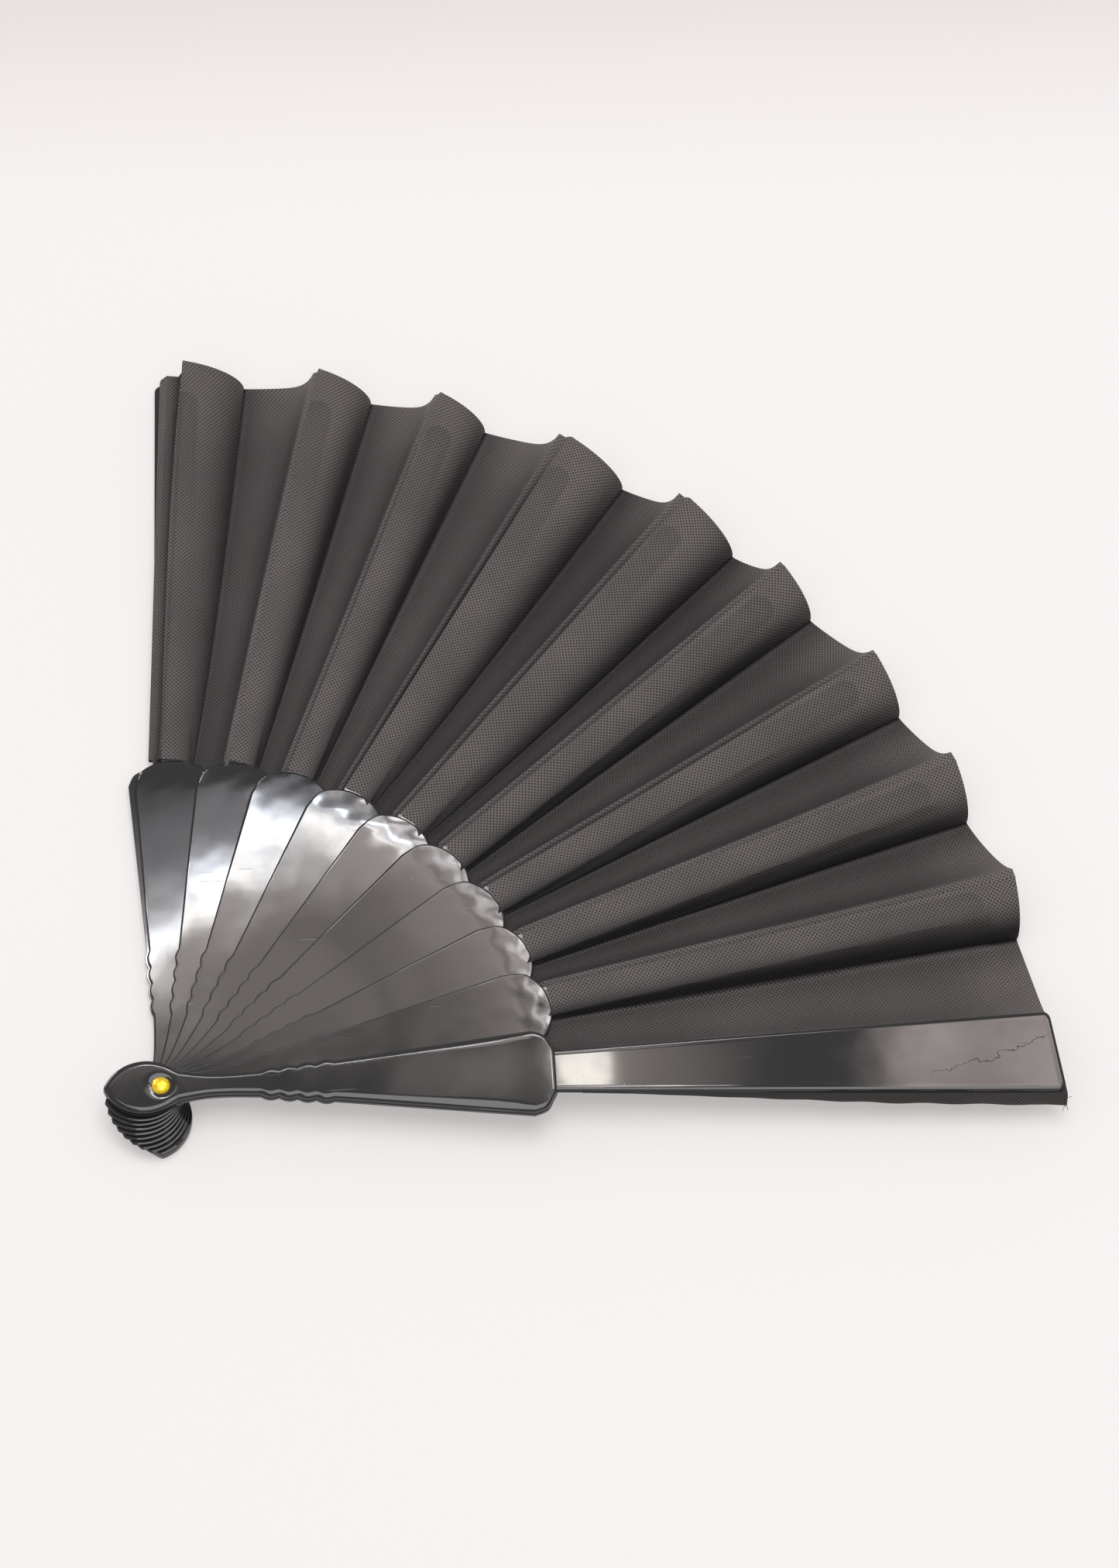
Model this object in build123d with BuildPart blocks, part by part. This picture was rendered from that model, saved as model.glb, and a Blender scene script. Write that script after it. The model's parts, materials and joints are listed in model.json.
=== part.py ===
from build123d import *
import os
from math import atan2, cos, radians, sin, tan

# Folding hand fan, lying on its rear guard and opened about a quarter turn.
# The origin is on the pivot axis, level with the table. +X runs along the front guard,
# +Z is up, and the fan opens anticlockwise, seen from above, to the rear guard near +Y.

# ---- Driving sizes, in millimetres ----
# Guards
guard_length = 215.0        # pivot to the square end of a guard
guard_end_radius = 2.0
gorge_length = 94.1         # pivot to the neck between a guard's gorge and its panel
gorge_shoulder = 88.5       # pivot to the widest place of the gorge
gorge_half = 10.9
gorge_bend = [0.977, 0.88]  # a place between shoulder and neck, as shares of length and half width
front_neck_half = 5.4       # half width of the front panel at the neck
front_end_half = 10.7       # and at its end
rear_neck_half = 4.7
rear_end_half = 7.4
# Inner sticks
blade_length = 95.8         # pivot to the crest of a blade
blade_shoulder = 86.5       # pivot to the widest place of a blade
blade_half = 9.9
blade_bend = [0.957, 0.9]   # two places between shoulder and crest, as shares of length and half width
blade_crest = [0.987, 0.55]
shoulder_lead = (1, 0.1)    # direction of the edge where it leaves the shoulder
rib_length = 206.3          # pivot to the round end of a rib
rib_half = 3.5
rib_overlap = 6.0           # length of rib that is moulded into its blade
# Head and handle, the same on every stick and guard
head_length = 13.7          # pivot to the point of the head
head_half = 6.95
head_crown = 3.7            # the head is widest this far behind the pivot
head_tip = [0.82, 0.56]     # two places of its edge, as shares of its length and half width
head_cheek = [0.58, 0.88]
head_back = [0.1, 0.87]     # a place just before the notch, as shares of notch_x and head_half
notch_x = 4.3               # notch between head and neck
notch_half = 3.8
neck_x = 17.0
neck_half = 2.7
wave_start = 23.5           # wavy edge beyond the neck
wave_pitch = 4.4
wave_count = 4
wave_depth = 0.3
wave_crest = 1.5            # height of a crest over its troughs, as a share of wave_depth

# Thicknesses, and the gaps between the layers of the stack
rear_thickness = 2.4
front_thickness = 2.72
rear_panel = 1.6            # thickness of the rear guard past its gorge
front_panel = 1.15          # and of the front guard, where the leaf is under it
stick_thickness = 0.72
rib_thickness = 0.55
stick_gap = 0.08
guard_gap = 0.08
panel_step = 0.45           # the front panel's face is this far below the gorge's
panel_overlap = 4.0         # length of panel that is moulded into its gorge
flange_share = 0.4          # share of a guard's height below its groove
groove_height = 0.25
groove_depth = 0.45
crown_inset = 0.12          # the face of a guard stands this far inside its flange
face_chamfer = 0.4
stick_chamfer = 0.12

# Rivet
stem_radius = 1.5
pivot_clearance = 0.05      # radial, between the stem and every bore
rivet_head_radius = 2.3
rivet_head_height = 1.2
rivet_shoulder = [0.72, 0.75]  # place on the dome, as shares of its radius and height
rivet_lift = 0.1            # the head stands this far above the dish
cap_radius = 2.6
cap_thickness = 0.8
cap_chamfer = 0.24
cap_lift = 0.15             # the cap stays this far above the table
recess_clearance = 0.8      # radial, round the cap
dish_radius = 5.0           # shallow dish in the front guard, round the rivet
dish_depth = 0.45

# Pleated leaf
leaf_inner = 97.0           # pivot to the leaf's inner edge
leaf_outer = 214.0
leaf_thickness = 0.4
leaf_lift = 0.15            # between a rib and the leaf over it, or a layer under it
leaf_floor = 1.75           # lowest place of a valley
leaf_gap = 0.12             # between the edges of neighbouring pleats
rib_margin = 0.5            # the leaf bends down this far outside a rib
valley_margin = 1.5         # a valley stays this far from its rib at the inner edge
fold_margin = 0.74          # and the first fold from its rib
valley_drop = 0.8           # depth of a valley at the inner edge, below its rib
plateau_slope = 0.15        # fall of the leaf across a rib
rise_place = 0.6            # the free side stays low for this share of its width
rise_share = 0.22           # and has risen by this share of its height there
fold_inset = 1.0            # the first pleat is folded this far inside the rear panel
end_drops = [0.9, 5.8]      # fall of the loose end past the front panel, inner and outer
end_reach = 1.2             # it hangs this far outside the panel

# ---- Rest pose, in degrees from the front guard ----
rear_angle = 88.6
stick_angles = [88.2, 78.1, 68.8, 59.2, 49.4, 40.4, 31.0, 21.3, 11.8]
# The upper crease of each pleat leads its rib, and the valley trails it.
crease_lead = [0.2, 0.6, 1.0, 0.6, 0.7, 1.6, 1.6, 1.9, 1.8]
valley_trail = [4.1, 3.3, 2.6, 4.0, 3.8, 2.3, 2.7, 2.3, 2.2]

# ---- Worked out from those ----
stick_count = len(stick_angles)
stick_pitch = stick_thickness + stick_gap
first_stick = rear_thickness + guard_gap
front_bottom = first_stick + stick_count * stick_pitch - stick_gap + guard_gap
front_top = front_bottom + front_thickness
bore_radius = stem_radius + pivot_clearance
panel_top = front_top - panel_step
panel_bottom = panel_top - front_panel
leaf_top = panel_bottom - leaf_thickness  # highest place of a crease
dish_bottom = front_top - dish_depth
cap_top = cap_lift + cap_thickness
recess_radius = cap_radius + recess_clearance
front_panel_halves = (front_neck_half, front_end_half)
rear_panel_halves = (rear_neck_half, rear_end_half)

os.makedirs("parts", exist_ok=True)


def layer(angle, height):
    """Plane at a height, with its X axis along a stick that stands at that angle."""
    direction = (cos(radians(angle)), sin(radians(angle)), 0)
    return Plane(origin=(0, 0, height), x_dir=direction, z_dir=(0, 0, 1))


def section(angle, radius):
    """Upright plane across a stick at a radius: X is to its left and Y is up."""
    outward = (cos(radians(angle)), sin(radians(angle)), 0)
    left = (-sin(radians(angle)), cos(radians(angle)), 0)
    return Plane(origin=tuple(radius * c for c in outward), x_dir=left, z_dir=outward)


def stick_bottom(index):
    """Height of the underside of an inner stick, counted from 0 at the rear guard."""
    return first_stick + index * stick_pitch


# ---- Outlines, with the stick's axis along X ----
def handle_edge(shoulder, shoulder_half, inset):
    """Left edge from the point of the head, past the neck and its waves, to the shoulder."""
    slope = (shoulder_half - neck_half) / (shoulder - neck_x)
    notch = (notch_x, notch_half - inset)
    Spline(
        (inset - head_length, 0),
        (-head_tip[0] * head_length, head_tip[1] * head_half - inset),
        (-head_cheek[0] * head_length, head_cheek[1] * head_half - inset),
        (-head_crown, head_half - inset),
        (head_back[0] * notch_x, head_back[1] * head_half - inset),
        notch,
    )
    troughs = []
    for k in range(wave_count + 1):
        x = wave_start + k * wave_pitch
        troughs.append((x, neck_half + slope * (x - neck_x) - wave_depth - inset))
    Spline(notch, (neck_x, neck_half - inset), troughs[0])
    for (x0, y0), (x1, y1) in zip(troughs, troughs[1:]):
        ThreePointArc((x0, y0), ((x0 + x1) / 2, (y0 + y1) / 2 + wave_crest * wave_depth), (x1, y1))
    Line(troughs[-1], (shoulder, shoulder_half - inset))


def gorge_face(inset, panel):
    """Outline of a guard's head, handle and gorge, drawn in by inset."""
    end, neck = gorge_length - inset, panel[0] - inset
    with BuildSketch() as face:
        with BuildLine():
            handle_edge(gorge_shoulder, gorge_half, inset)
            Spline(
                (gorge_shoulder, gorge_half - inset),
                (gorge_bend[0] * gorge_length, gorge_bend[1] * gorge_half - inset),
                (end, neck),
            )
            Line((end, neck), (end, 0))
            mirror(about=Plane.XZ)
        make_face()
    return face.sketch


def panel_half(radius, panel):
    """Half width at a radius of a panel, given by its half widths at the neck and at the end."""
    share = (radius - gorge_length) / (guard_length - gorge_length)
    return panel[0] + share * (panel[1] - panel[0])


def panel_face(inset, panel):
    """Outline of a guard's panel, drawn in by inset and run back into the gorge."""
    start, end = gorge_length - panel_overlap, guard_length - inset
    root, tip = panel_half(start, panel) - inset, panel[1] - inset
    with BuildSketch() as face:
        with BuildLine():
            Polyline((start, root), (end, tip), (end, -tip), (start, -root), close=True)
        make_face()
        fillet(face.vertices().group_by(Axis.X)[-1], radius=guard_end_radius - inset)
    return face.sketch


def blade_face(inset):
    """Outline of an inner stick's head, handle and blade, drawn in by inset."""
    with BuildSketch() as face:
        with BuildLine():
            handle_edge(blade_shoulder, blade_half, inset)
            Spline(
                (blade_shoulder, blade_half - inset),
                (blade_bend[0] * blade_length, blade_bend[1] * blade_half - inset),
                (blade_crest[0] * blade_length, blade_crest[1] * blade_half - inset),
                (blade_length - inset, 0),
                tangents=[shoulder_lead, (0, -1)],
            )
            mirror(about=Plane.XZ)
        make_face()
    return face.sketch


def guard_levels(bottom, top, face_up):
    """Levels of a guard as (low, high, inset at low, inset at high): flange, groove, crown, face."""
    flange = flange_share * (top - bottom)
    groove = flange + groove_height
    crown = top - bottom - face_chamfer
    levels = [
        (0, flange, 0, 0),
        (flange, groove, groove_depth, groove_depth),
        (groove, crown, crown_inset, crown_inset),
        (crown, top - bottom, crown_inset, crown_inset + face_chamfer),
    ]
    if face_up:
        return [(bottom + low, bottom + high, a, b) for low, high, a, b in levels]
    return [(top - high, top - low, b, a) for low, high, a, b in levels]


# ---- Rear guard: its face lies on the table ----
with BuildPart() as rear_guard:
    for outline, top in ((gorge_face, rear_thickness), (panel_face, rear_panel)):
        for low, high, low_inset, high_inset in guard_levels(0, top, face_up=False):
            with BuildSketch(layer(rear_angle, low)):
                add(outline(low_inset, rear_panel_halves))
            with BuildSketch(layer(rear_angle, high)):
                add(outline(high_inset, rear_panel_halves))
            loft(ruled=True)
    Cylinder(bore_radius, 3 * rear_thickness, mode=Mode.SUBTRACT)
    Cylinder(recess_radius, 2 * cap_top, mode=Mode.SUBTRACT)
rear_guard.part.label = "rear_guard"
export_step(rear_guard.part, "parts/rear_guard.step")

# ---- Inner sticks, from the rear guard up to the front guard ----
for index, angle in enumerate(stick_angles):
    bottom = stick_bottom(index)
    with BuildPart() as stick:
        with BuildSketch(layer(angle, bottom)):
            add(blade_face(0))
        extrude(amount=stick_thickness - stick_chamfer)
        with BuildSketch(layer(angle, bottom + stick_thickness - stick_chamfer)):
            add(blade_face(0))
        with BuildSketch(layer(angle, bottom + stick_thickness)):
            add(blade_face(stick_chamfer))
        loft(ruled=True)
        rib_start = blade_length - rib_overlap
        with BuildSketch(layer(angle, bottom)):
            with Locations(((rib_start + rib_length) / 2, 0)):
                SlotOverall(rib_length - rib_start, 2 * rib_half)
        extrude(amount=rib_thickness)
        with BuildSketch(layer(angle, bottom)):
            Circle(bore_radius)
        extrude(amount=stick_thickness, mode=Mode.SUBTRACT)
    stick.part.label = f"stick_{index + 1}"
    export_step(stick.part, f"parts/stick_{index + 1}.step")

# ---- Front guard: its face is up, with a dish round the rivet ----
with BuildPart() as front_guard:
    for outline, low_z, high_z in (
        (gorge_face, front_bottom, front_top),
        (panel_face, panel_bottom, panel_top),
    ):
        for low, high, low_inset, high_inset in guard_levels(low_z, high_z, face_up=True):
            with BuildSketch(layer(0, low)):
                add(outline(low_inset, front_panel_halves))
            with BuildSketch(layer(0, high)):
                add(outline(high_inset, front_panel_halves))
            loft(ruled=True)
    with BuildSketch(layer(0, front_bottom)):
        Circle(bore_radius)
    extrude(amount=2 * front_thickness, mode=Mode.SUBTRACT)
    dish_sphere = (dish_radius**2 + dish_depth**2) / (2 * dish_depth)
    with Locations((0, 0, dish_bottom + dish_sphere)):
        Sphere(dish_sphere, mode=Mode.SUBTRACT)
front_guard.part.label = "front_guard"
export_step(front_guard.part, "parts/front_guard.step")

# ---- Rivet: a domed head on a stem, closed by a cap in the rear guard's recess ----
with BuildPart() as pivot_rivet:
    with BuildSketch(Plane.XY.offset(cap_lift)):
        Circle(stem_radius)
    extrude(amount=dish_bottom + rivet_lift - cap_lift)
    with BuildSketch(Plane.XZ):
        with BuildLine():
            Line((0, dish_bottom + rivet_lift), (rivet_head_radius, dish_bottom + rivet_lift))
            Spline(
                (rivet_head_radius, dish_bottom + rivet_lift),
                (
                    rivet_shoulder[0] * rivet_head_radius,
                    dish_bottom + rivet_lift + rivet_shoulder[1] * rivet_head_height,
                ),
                (0, dish_bottom + rivet_lift + rivet_head_height),
                tangents=[(0, 1), (-1, 0)],
            )
            Line((0, dish_bottom + rivet_lift + rivet_head_height), (0, dish_bottom + rivet_lift))
        make_face()
    revolve(axis=Axis.Z)
pivot_rivet.part.label = "pivot_rivet"
export_step(pivot_rivet.part, "parts/pivot_rivet.step")

with BuildPart() as rivet_cap:
    with BuildSketch(Plane.XY.offset(cap_lift)):
        Circle(cap_radius)
        Circle(stem_radius, mode=Mode.SUBTRACT)
    extrude(amount=cap_thickness)
    chamfer(rivet_cap.faces().sort_by(Axis.Z)[0].outer_wire().edges(), length=cap_chamfer)
rivet_cap.part.label = "rivet_cap"
export_step(rivet_cap.part, "parts/rivet_cap.step")


# ---- Leaf: one pleat between each stick and the next ----
def across(radius, angle, offset, middle):
    """Place along a section's X axis of a point that is offset to the left of a stick."""
    turn = radians(angle - middle) + atan2(offset, radius)
    return radius * tan(turn)


def crease(index, radius):
    """Offset and height of the upper crease over an inner stick, at one end of the leaf."""
    if radius == leaf_inner:
        rib_top = stick_bottom(index) + rib_thickness
        return rib_half + rib_margin, rib_top + leaf_lift + plateau_slope + leaf_thickness
    return radians(crease_lead[index]) * radius, leaf_top


def valley(index, radius):
    """Offset and height of the valley after an inner stick, at one end of the leaf."""
    offset = radians(valley_trail[index]) * radius
    if radius == leaf_inner:
        drop = max(leaf_floor, stick_bottom(index) - valley_drop)
        return max(offset, rib_half + valley_margin), drop + leaf_thickness
    return offset, leaf_floor + leaf_thickness


def pleat_outline(index, radius, middle):
    """Corners of a pleat's section: over its rib, down to its valley, up to the next crease."""
    angle = stick_angles[index]
    lead, high = crease(index, radius)
    trail, low = valley(index, radius)
    if index + 1 < stick_count:
        next_angle = stick_angles[index + 1]
        next_lead, next_high = crease(index + 1, radius)
    else:
        next_angle, next_high = 0, leaf_top
        next_lead = panel_half(radius, front_panel_halves) + leaf_gap
    start = across(radius, angle, -trail, middle)
    end = across(radius, next_angle, next_lead + leaf_gap, middle)
    upper = [
        (across(radius, angle, lead, middle), high),
        (across(radius, angle, -rib_half - rib_margin, middle), high - plateau_slope),
        (start, low),
        (start + rise_place * (end - start), low + rise_share * (next_high - low)),
        (end, next_high),
    ]
    return upper + [(x, y - leaf_thickness) for x, y in reversed(upper)]


def fold_outline(radius):
    """Corners of the first pleat's section: folded flat on the rear guard, then up to stick 1."""
    lead, high = crease(0, radius)
    edge = max(panel_half(radius, rear_panel_halves) - fold_inset, rib_half + fold_margin)
    lead_x = across(radius, stick_angles[0], lead + leaf_gap, rear_angle)
    top = leaf_floor + leaf_thickness
    return [
        (-edge, leaf_floor),
        (edge + leaf_thickness, leaf_floor),
        (edge + leaf_thickness, top),
        (lead_x, high),
        (lead_x, high - leaf_thickness),
        (edge, top),
        (-edge, top),
    ]


with BuildPart() as leaf_pleat_1:
    for radius in (leaf_inner, leaf_outer):
        with BuildSketch(section(rear_angle, radius)):
            with BuildLine():
                Polyline(*fold_outline(radius), close=True)
            make_face()
    loft(ruled=True)
leaf_pleat_1.part.label = "leaf_pleat_1"
export_step(leaf_pleat_1.part, "parts/leaf_pleat_1.step")

for index, angle in enumerate(stick_angles):
    next_angle = stick_angles[index + 1] if index + 1 < stick_count else 0
    middle = (angle + next_angle) / 2
    with BuildPart() as leaf_pleat:
        for radius in (leaf_inner, leaf_outer):
            with BuildSketch(section(middle, radius)):
                with BuildLine():
                    Polyline(*pleat_outline(index, radius, middle), close=True)
                make_face()
        loft(ruled=True)
    leaf_pleat.part.label = f"leaf_pleat_{index + 2}"
    export_step(leaf_pleat.part, f"parts/leaf_pleat_{index + 2}.step")

# The leaf's loose end is glued under the front panel and hangs down past its right edge.
with BuildPart() as leaf_end:
    high = panel_bottom - leaf_lift
    for radius, drop in zip((leaf_inner, leaf_outer), end_drops):
        edge = panel_half(radius, front_panel_halves)
        with BuildSketch(section(0, radius)):
            with BuildLine():
                Polyline(
                    (edge - leaf_gap, high),
                    (-edge, high),
                    (-edge - end_reach, high - drop),
                    (-edge - end_reach + leaf_thickness, high - drop - leaf_thickness),
                    (-edge + leaf_thickness, high - leaf_thickness),
                    (edge - leaf_gap, high - leaf_thickness),
                    close=True,
                )
            make_face()
    loft(ruled=True)
leaf_end.part.label = "leaf_end"
export_step(leaf_end.part, "parts/leaf_end.step")
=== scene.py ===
"""A folding hand fan of glossy black plastic with a pleated leaf of dark mesh cloth.

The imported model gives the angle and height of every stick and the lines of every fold. The
guards, the sticks and the leaf are then modelled round it as finer meshes, in metres.
"""

from __future__ import annotations

import json
import logging
import math
from dataclasses import dataclass, field
from enum import Enum
from typing import Callable, Sequence, Union

import bmesh
import bpy
import numpy as np
from mathutils import Matrix, Vector

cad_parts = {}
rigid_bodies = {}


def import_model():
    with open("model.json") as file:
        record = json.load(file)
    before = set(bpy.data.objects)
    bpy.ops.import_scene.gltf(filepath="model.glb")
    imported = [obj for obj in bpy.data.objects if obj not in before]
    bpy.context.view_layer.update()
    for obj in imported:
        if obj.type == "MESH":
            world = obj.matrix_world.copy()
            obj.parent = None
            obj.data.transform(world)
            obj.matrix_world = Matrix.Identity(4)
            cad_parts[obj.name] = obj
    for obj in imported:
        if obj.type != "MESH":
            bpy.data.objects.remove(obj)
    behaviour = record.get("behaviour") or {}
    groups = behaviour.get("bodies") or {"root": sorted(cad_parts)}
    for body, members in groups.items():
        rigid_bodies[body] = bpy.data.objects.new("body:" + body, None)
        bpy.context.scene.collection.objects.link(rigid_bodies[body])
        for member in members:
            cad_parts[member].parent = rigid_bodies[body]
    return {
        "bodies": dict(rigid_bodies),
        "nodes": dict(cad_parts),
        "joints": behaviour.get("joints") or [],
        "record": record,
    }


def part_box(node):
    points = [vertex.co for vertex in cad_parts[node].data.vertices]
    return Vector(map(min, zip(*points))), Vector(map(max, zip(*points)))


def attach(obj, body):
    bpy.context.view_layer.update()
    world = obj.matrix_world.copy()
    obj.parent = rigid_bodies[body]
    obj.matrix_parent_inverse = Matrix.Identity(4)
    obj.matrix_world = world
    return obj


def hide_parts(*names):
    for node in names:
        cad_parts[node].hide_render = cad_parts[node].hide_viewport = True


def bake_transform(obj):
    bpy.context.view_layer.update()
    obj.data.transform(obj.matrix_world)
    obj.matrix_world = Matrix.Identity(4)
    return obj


LOG = logging.getLogger("hand_fan")
MM = 0.001
STICK_COUNT = 9

Piece = bpy.types.Object
Material = bpy.types.Material
Socket = bpy.types.NodeSocket
Feed = Union[float, Sequence[float], Socket]
Solid = tuple[np.ndarray, list]


class Slot(Enum):
    """The record's material slots."""

    PLASTIC = "black_plastic"
    FABRIC = "leaf_fabric"
    GILT = "gilt_metal"
    RIVET = "rivet_metal"


class Facing(Enum):
    """Which way the finished face of a moulding looks."""

    UP = 1
    DOWN = -1


# ---- Node and mesh helpers ----


class Nodes:
    """A short way to write a material's node tree."""

    def __init__(self, name: str) -> None:
        """Starts an empty material.

        Args:
            name: the material's name.
        """
        self.material = bpy.data.materials.new(name)
        self.material.use_nodes = True
        self.tree = self.material.node_tree
        self.tree.nodes.clear()

    def add(self, kind: str, inputs: dict | None = None, **settings: object) -> bpy.types.Node:
        """Adds a node.

        Args:
            kind: the node's type, without the leading ShaderNode.
            inputs: socket name or index to a value, or to an output socket that feeds it.
            settings: attributes of the node.

        Returns:
            The new node.
        """
        node = self.tree.nodes.new("ShaderNode" + kind)
        for key, value in settings.items():
            setattr(node, key, value)
        for key, value in (inputs or {}).items():
            if isinstance(value, Socket):
                self.tree.links.new(value, node.inputs[key])
            else:
                node.inputs[key].default_value = value
        return node

    def math(self, operation: str, *values: Feed, clamp: bool = False) -> Socket:
        """Adds a Math node over one to three values or sockets and returns its result."""
        node = self.add("Math", dict(enumerate(values)), operation=operation, use_clamp=clamp)
        return node.outputs[0]

    def times(self, first: Feed, second: Feed) -> Socket:
        """Multiplies two values or sockets."""
        return self.math("MULTIPLY", first, second)

    def plus(self, first: Feed, second: Feed, clamp: bool = False) -> Socket:
        """Adds two values or sockets."""
        return self.math("ADD", first, second, clamp=clamp)

    def minus(self, first: Feed, second: Feed) -> Socket:
        """Takes the second value or socket from the first."""
        return self.math("SUBTRACT", first, second)

    def millimetres(self) -> Socket:
        """The place on the piece, in millimetres."""
        metres = self.add("TexCoord").outputs["Object"]
        return self.add("VectorMath", {0: metres, 3: 1 / MM}, operation="SCALE").outputs[0]

    def ramp(
        self, value: Feed, low: float, high: float, to_low: float = 0.0, to_high: float = 1.0
    ) -> Socket:
        """Maps a value with a smooth step.

        Args:
            value: what is mapped.
            low: the value that gives to_low.
            high: the value that gives to_high.
            to_low: the result at low and before it.
            to_high: the result at high and past it.

        Returns:
            The result's socket.
        """
        names = {
            "Value": value, "From Min": low, "From Max": high, "To Min": to_low, "To Max": to_high,
        }
        node = self.add("MapRange", names, interpolation_type="SMOOTHSTEP")
        return node.outputs["Result"]

    def mix(self, factor: Feed, first: Feed, second: Feed) -> Socket:
        """Mixes two colours by a factor and returns the colour socket."""
        return self.add("Mix", {0: factor, 6: first, 7: second}, data_type="RGBA").outputs[2]

    def noise(
        self, vector: Feed, scale: float, detail: float = 3.0, roughness: float = 0.5
    ) -> Socket:
        """Adds a noise texture over a vector and returns its value."""
        names = {"Vector": vector, "Scale": scale, "Detail": detail, "Roughness": roughness}
        return self.add("TexNoise", names).outputs["Fac"]

    def output(self, shader: Socket) -> Material:
        """Ends the tree with its output and returns the material."""
        self.add("OutputMaterial", {"Surface": shader})
        return self.material


def rgba(red: float, green: float, blue: float) -> tuple[float, float, float, float]:
    """An opaque linear colour."""
    return (red, green, blue, 1.0)


def mesh_object(name: str, points: np.ndarray, faces: list, sharp_deg: float | None = 30.0) -> Piece:
    """Makes a smooth mesh object in the scene.

    Args:
        name: the piece's name.
        points: vertices in metres, one row each.
        faces: vertex indices of each face.
        sharp_deg: edges that turn by more than this stay sharp; None keeps all smooth.

    Returns:
        The new object.
    """
    mesh = bpy.data.meshes.new(name)
    mesh.from_pydata([tuple(map(float, p)) for p in points], [], faces)
    mesh.validate()
    mesh.shade_smooth()
    if sharp_deg is not None:
        mesh.set_sharp_from_angle(angle=math.radians(sharp_deg))
    piece = bpy.data.objects.new(name, mesh)
    bpy.context.scene.collection.objects.link(piece)
    return piece


def dress(piece: Piece, material: Material) -> None:
    """Gives a piece its material.

    Args:
        piece: the piece.
        material: its finish.
    """
    piece.data.materials.clear()
    piece.data.materials.append(material)


def grid_faces(rows: int, columns: int, start: int = 0, closed: bool = False) -> list:
    """Quads between neighbouring rows of vertices.

    Args:
        rows: number of rows.
        columns: vertices in each row.
        start: index of the first vertex.
        closed: whether each row is a loop.

    Returns:
        The faces as lists of four indices.
    """
    faces = []
    for i in range(rows - 1):
        for j in range(columns if closed else columns - 1):
            a, b = start + i * columns + j, start + i * columns + (j + 1) % columns
            faces.append([a, b, b + columns, a + columns])
    return faces


def vector_attribute(mesh: bpy.types.Mesh, name: str, values: np.ndarray) -> None:
    """Stores a vector on every vertex of a mesh."""
    layer = mesh.attributes.new(name, "FLOAT_VECTOR", "POINT")
    layer.data.foreach_set("vector", values.astype(np.float32).ravel())


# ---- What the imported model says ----


class Frame:
    """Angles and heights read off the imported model's own nodes."""

    tip_share = 0.97
    rim_share = 0.985

    def __init__(self) -> None:
        """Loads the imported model."""
        self.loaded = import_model()

    def points(self, node: str) -> np.ndarray:
        """A node's vertices, in metres."""
        mesh = self.loaded["nodes"][node].data
        return np.array([v.co for v in mesh.vertices], float)

    def lie(self, node: str) -> float:
        """Angle from +X at which a stick or guard lies, in radians.

        Args:
            node: the stick's or guard's node.

        Returns:
            The angle of its middle line, halfway between the corners of its end.
        """
        points = self.points(node)
        reach = np.hypot(points[:, 0], points[:, 1])
        tip = points[reach > self.tip_share * reach.max()]
        left, right = (f(np.arctan2(tip[:, 1], tip[:, 0])) for f in (np.max, np.min))
        return float(left + right) / 2

    def rim(self, node: str) -> np.ndarray:
        """A leaf node's outer end as rows of angle in radians and height in metres.

        Args:
            node: the leaf's node.

        Returns:
            One row of angle and height for each vertex of its end.
        """
        points = self.points(node)
        reach = np.hypot(points[:, 0], points[:, 1])
        ends = points[reach > self.rim_share * reach.max()]
        return np.column_stack([np.arctan2(ends[:, 1], ends[:, 0]), ends[:, 2]])


# ---- Finishes ----


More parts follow.
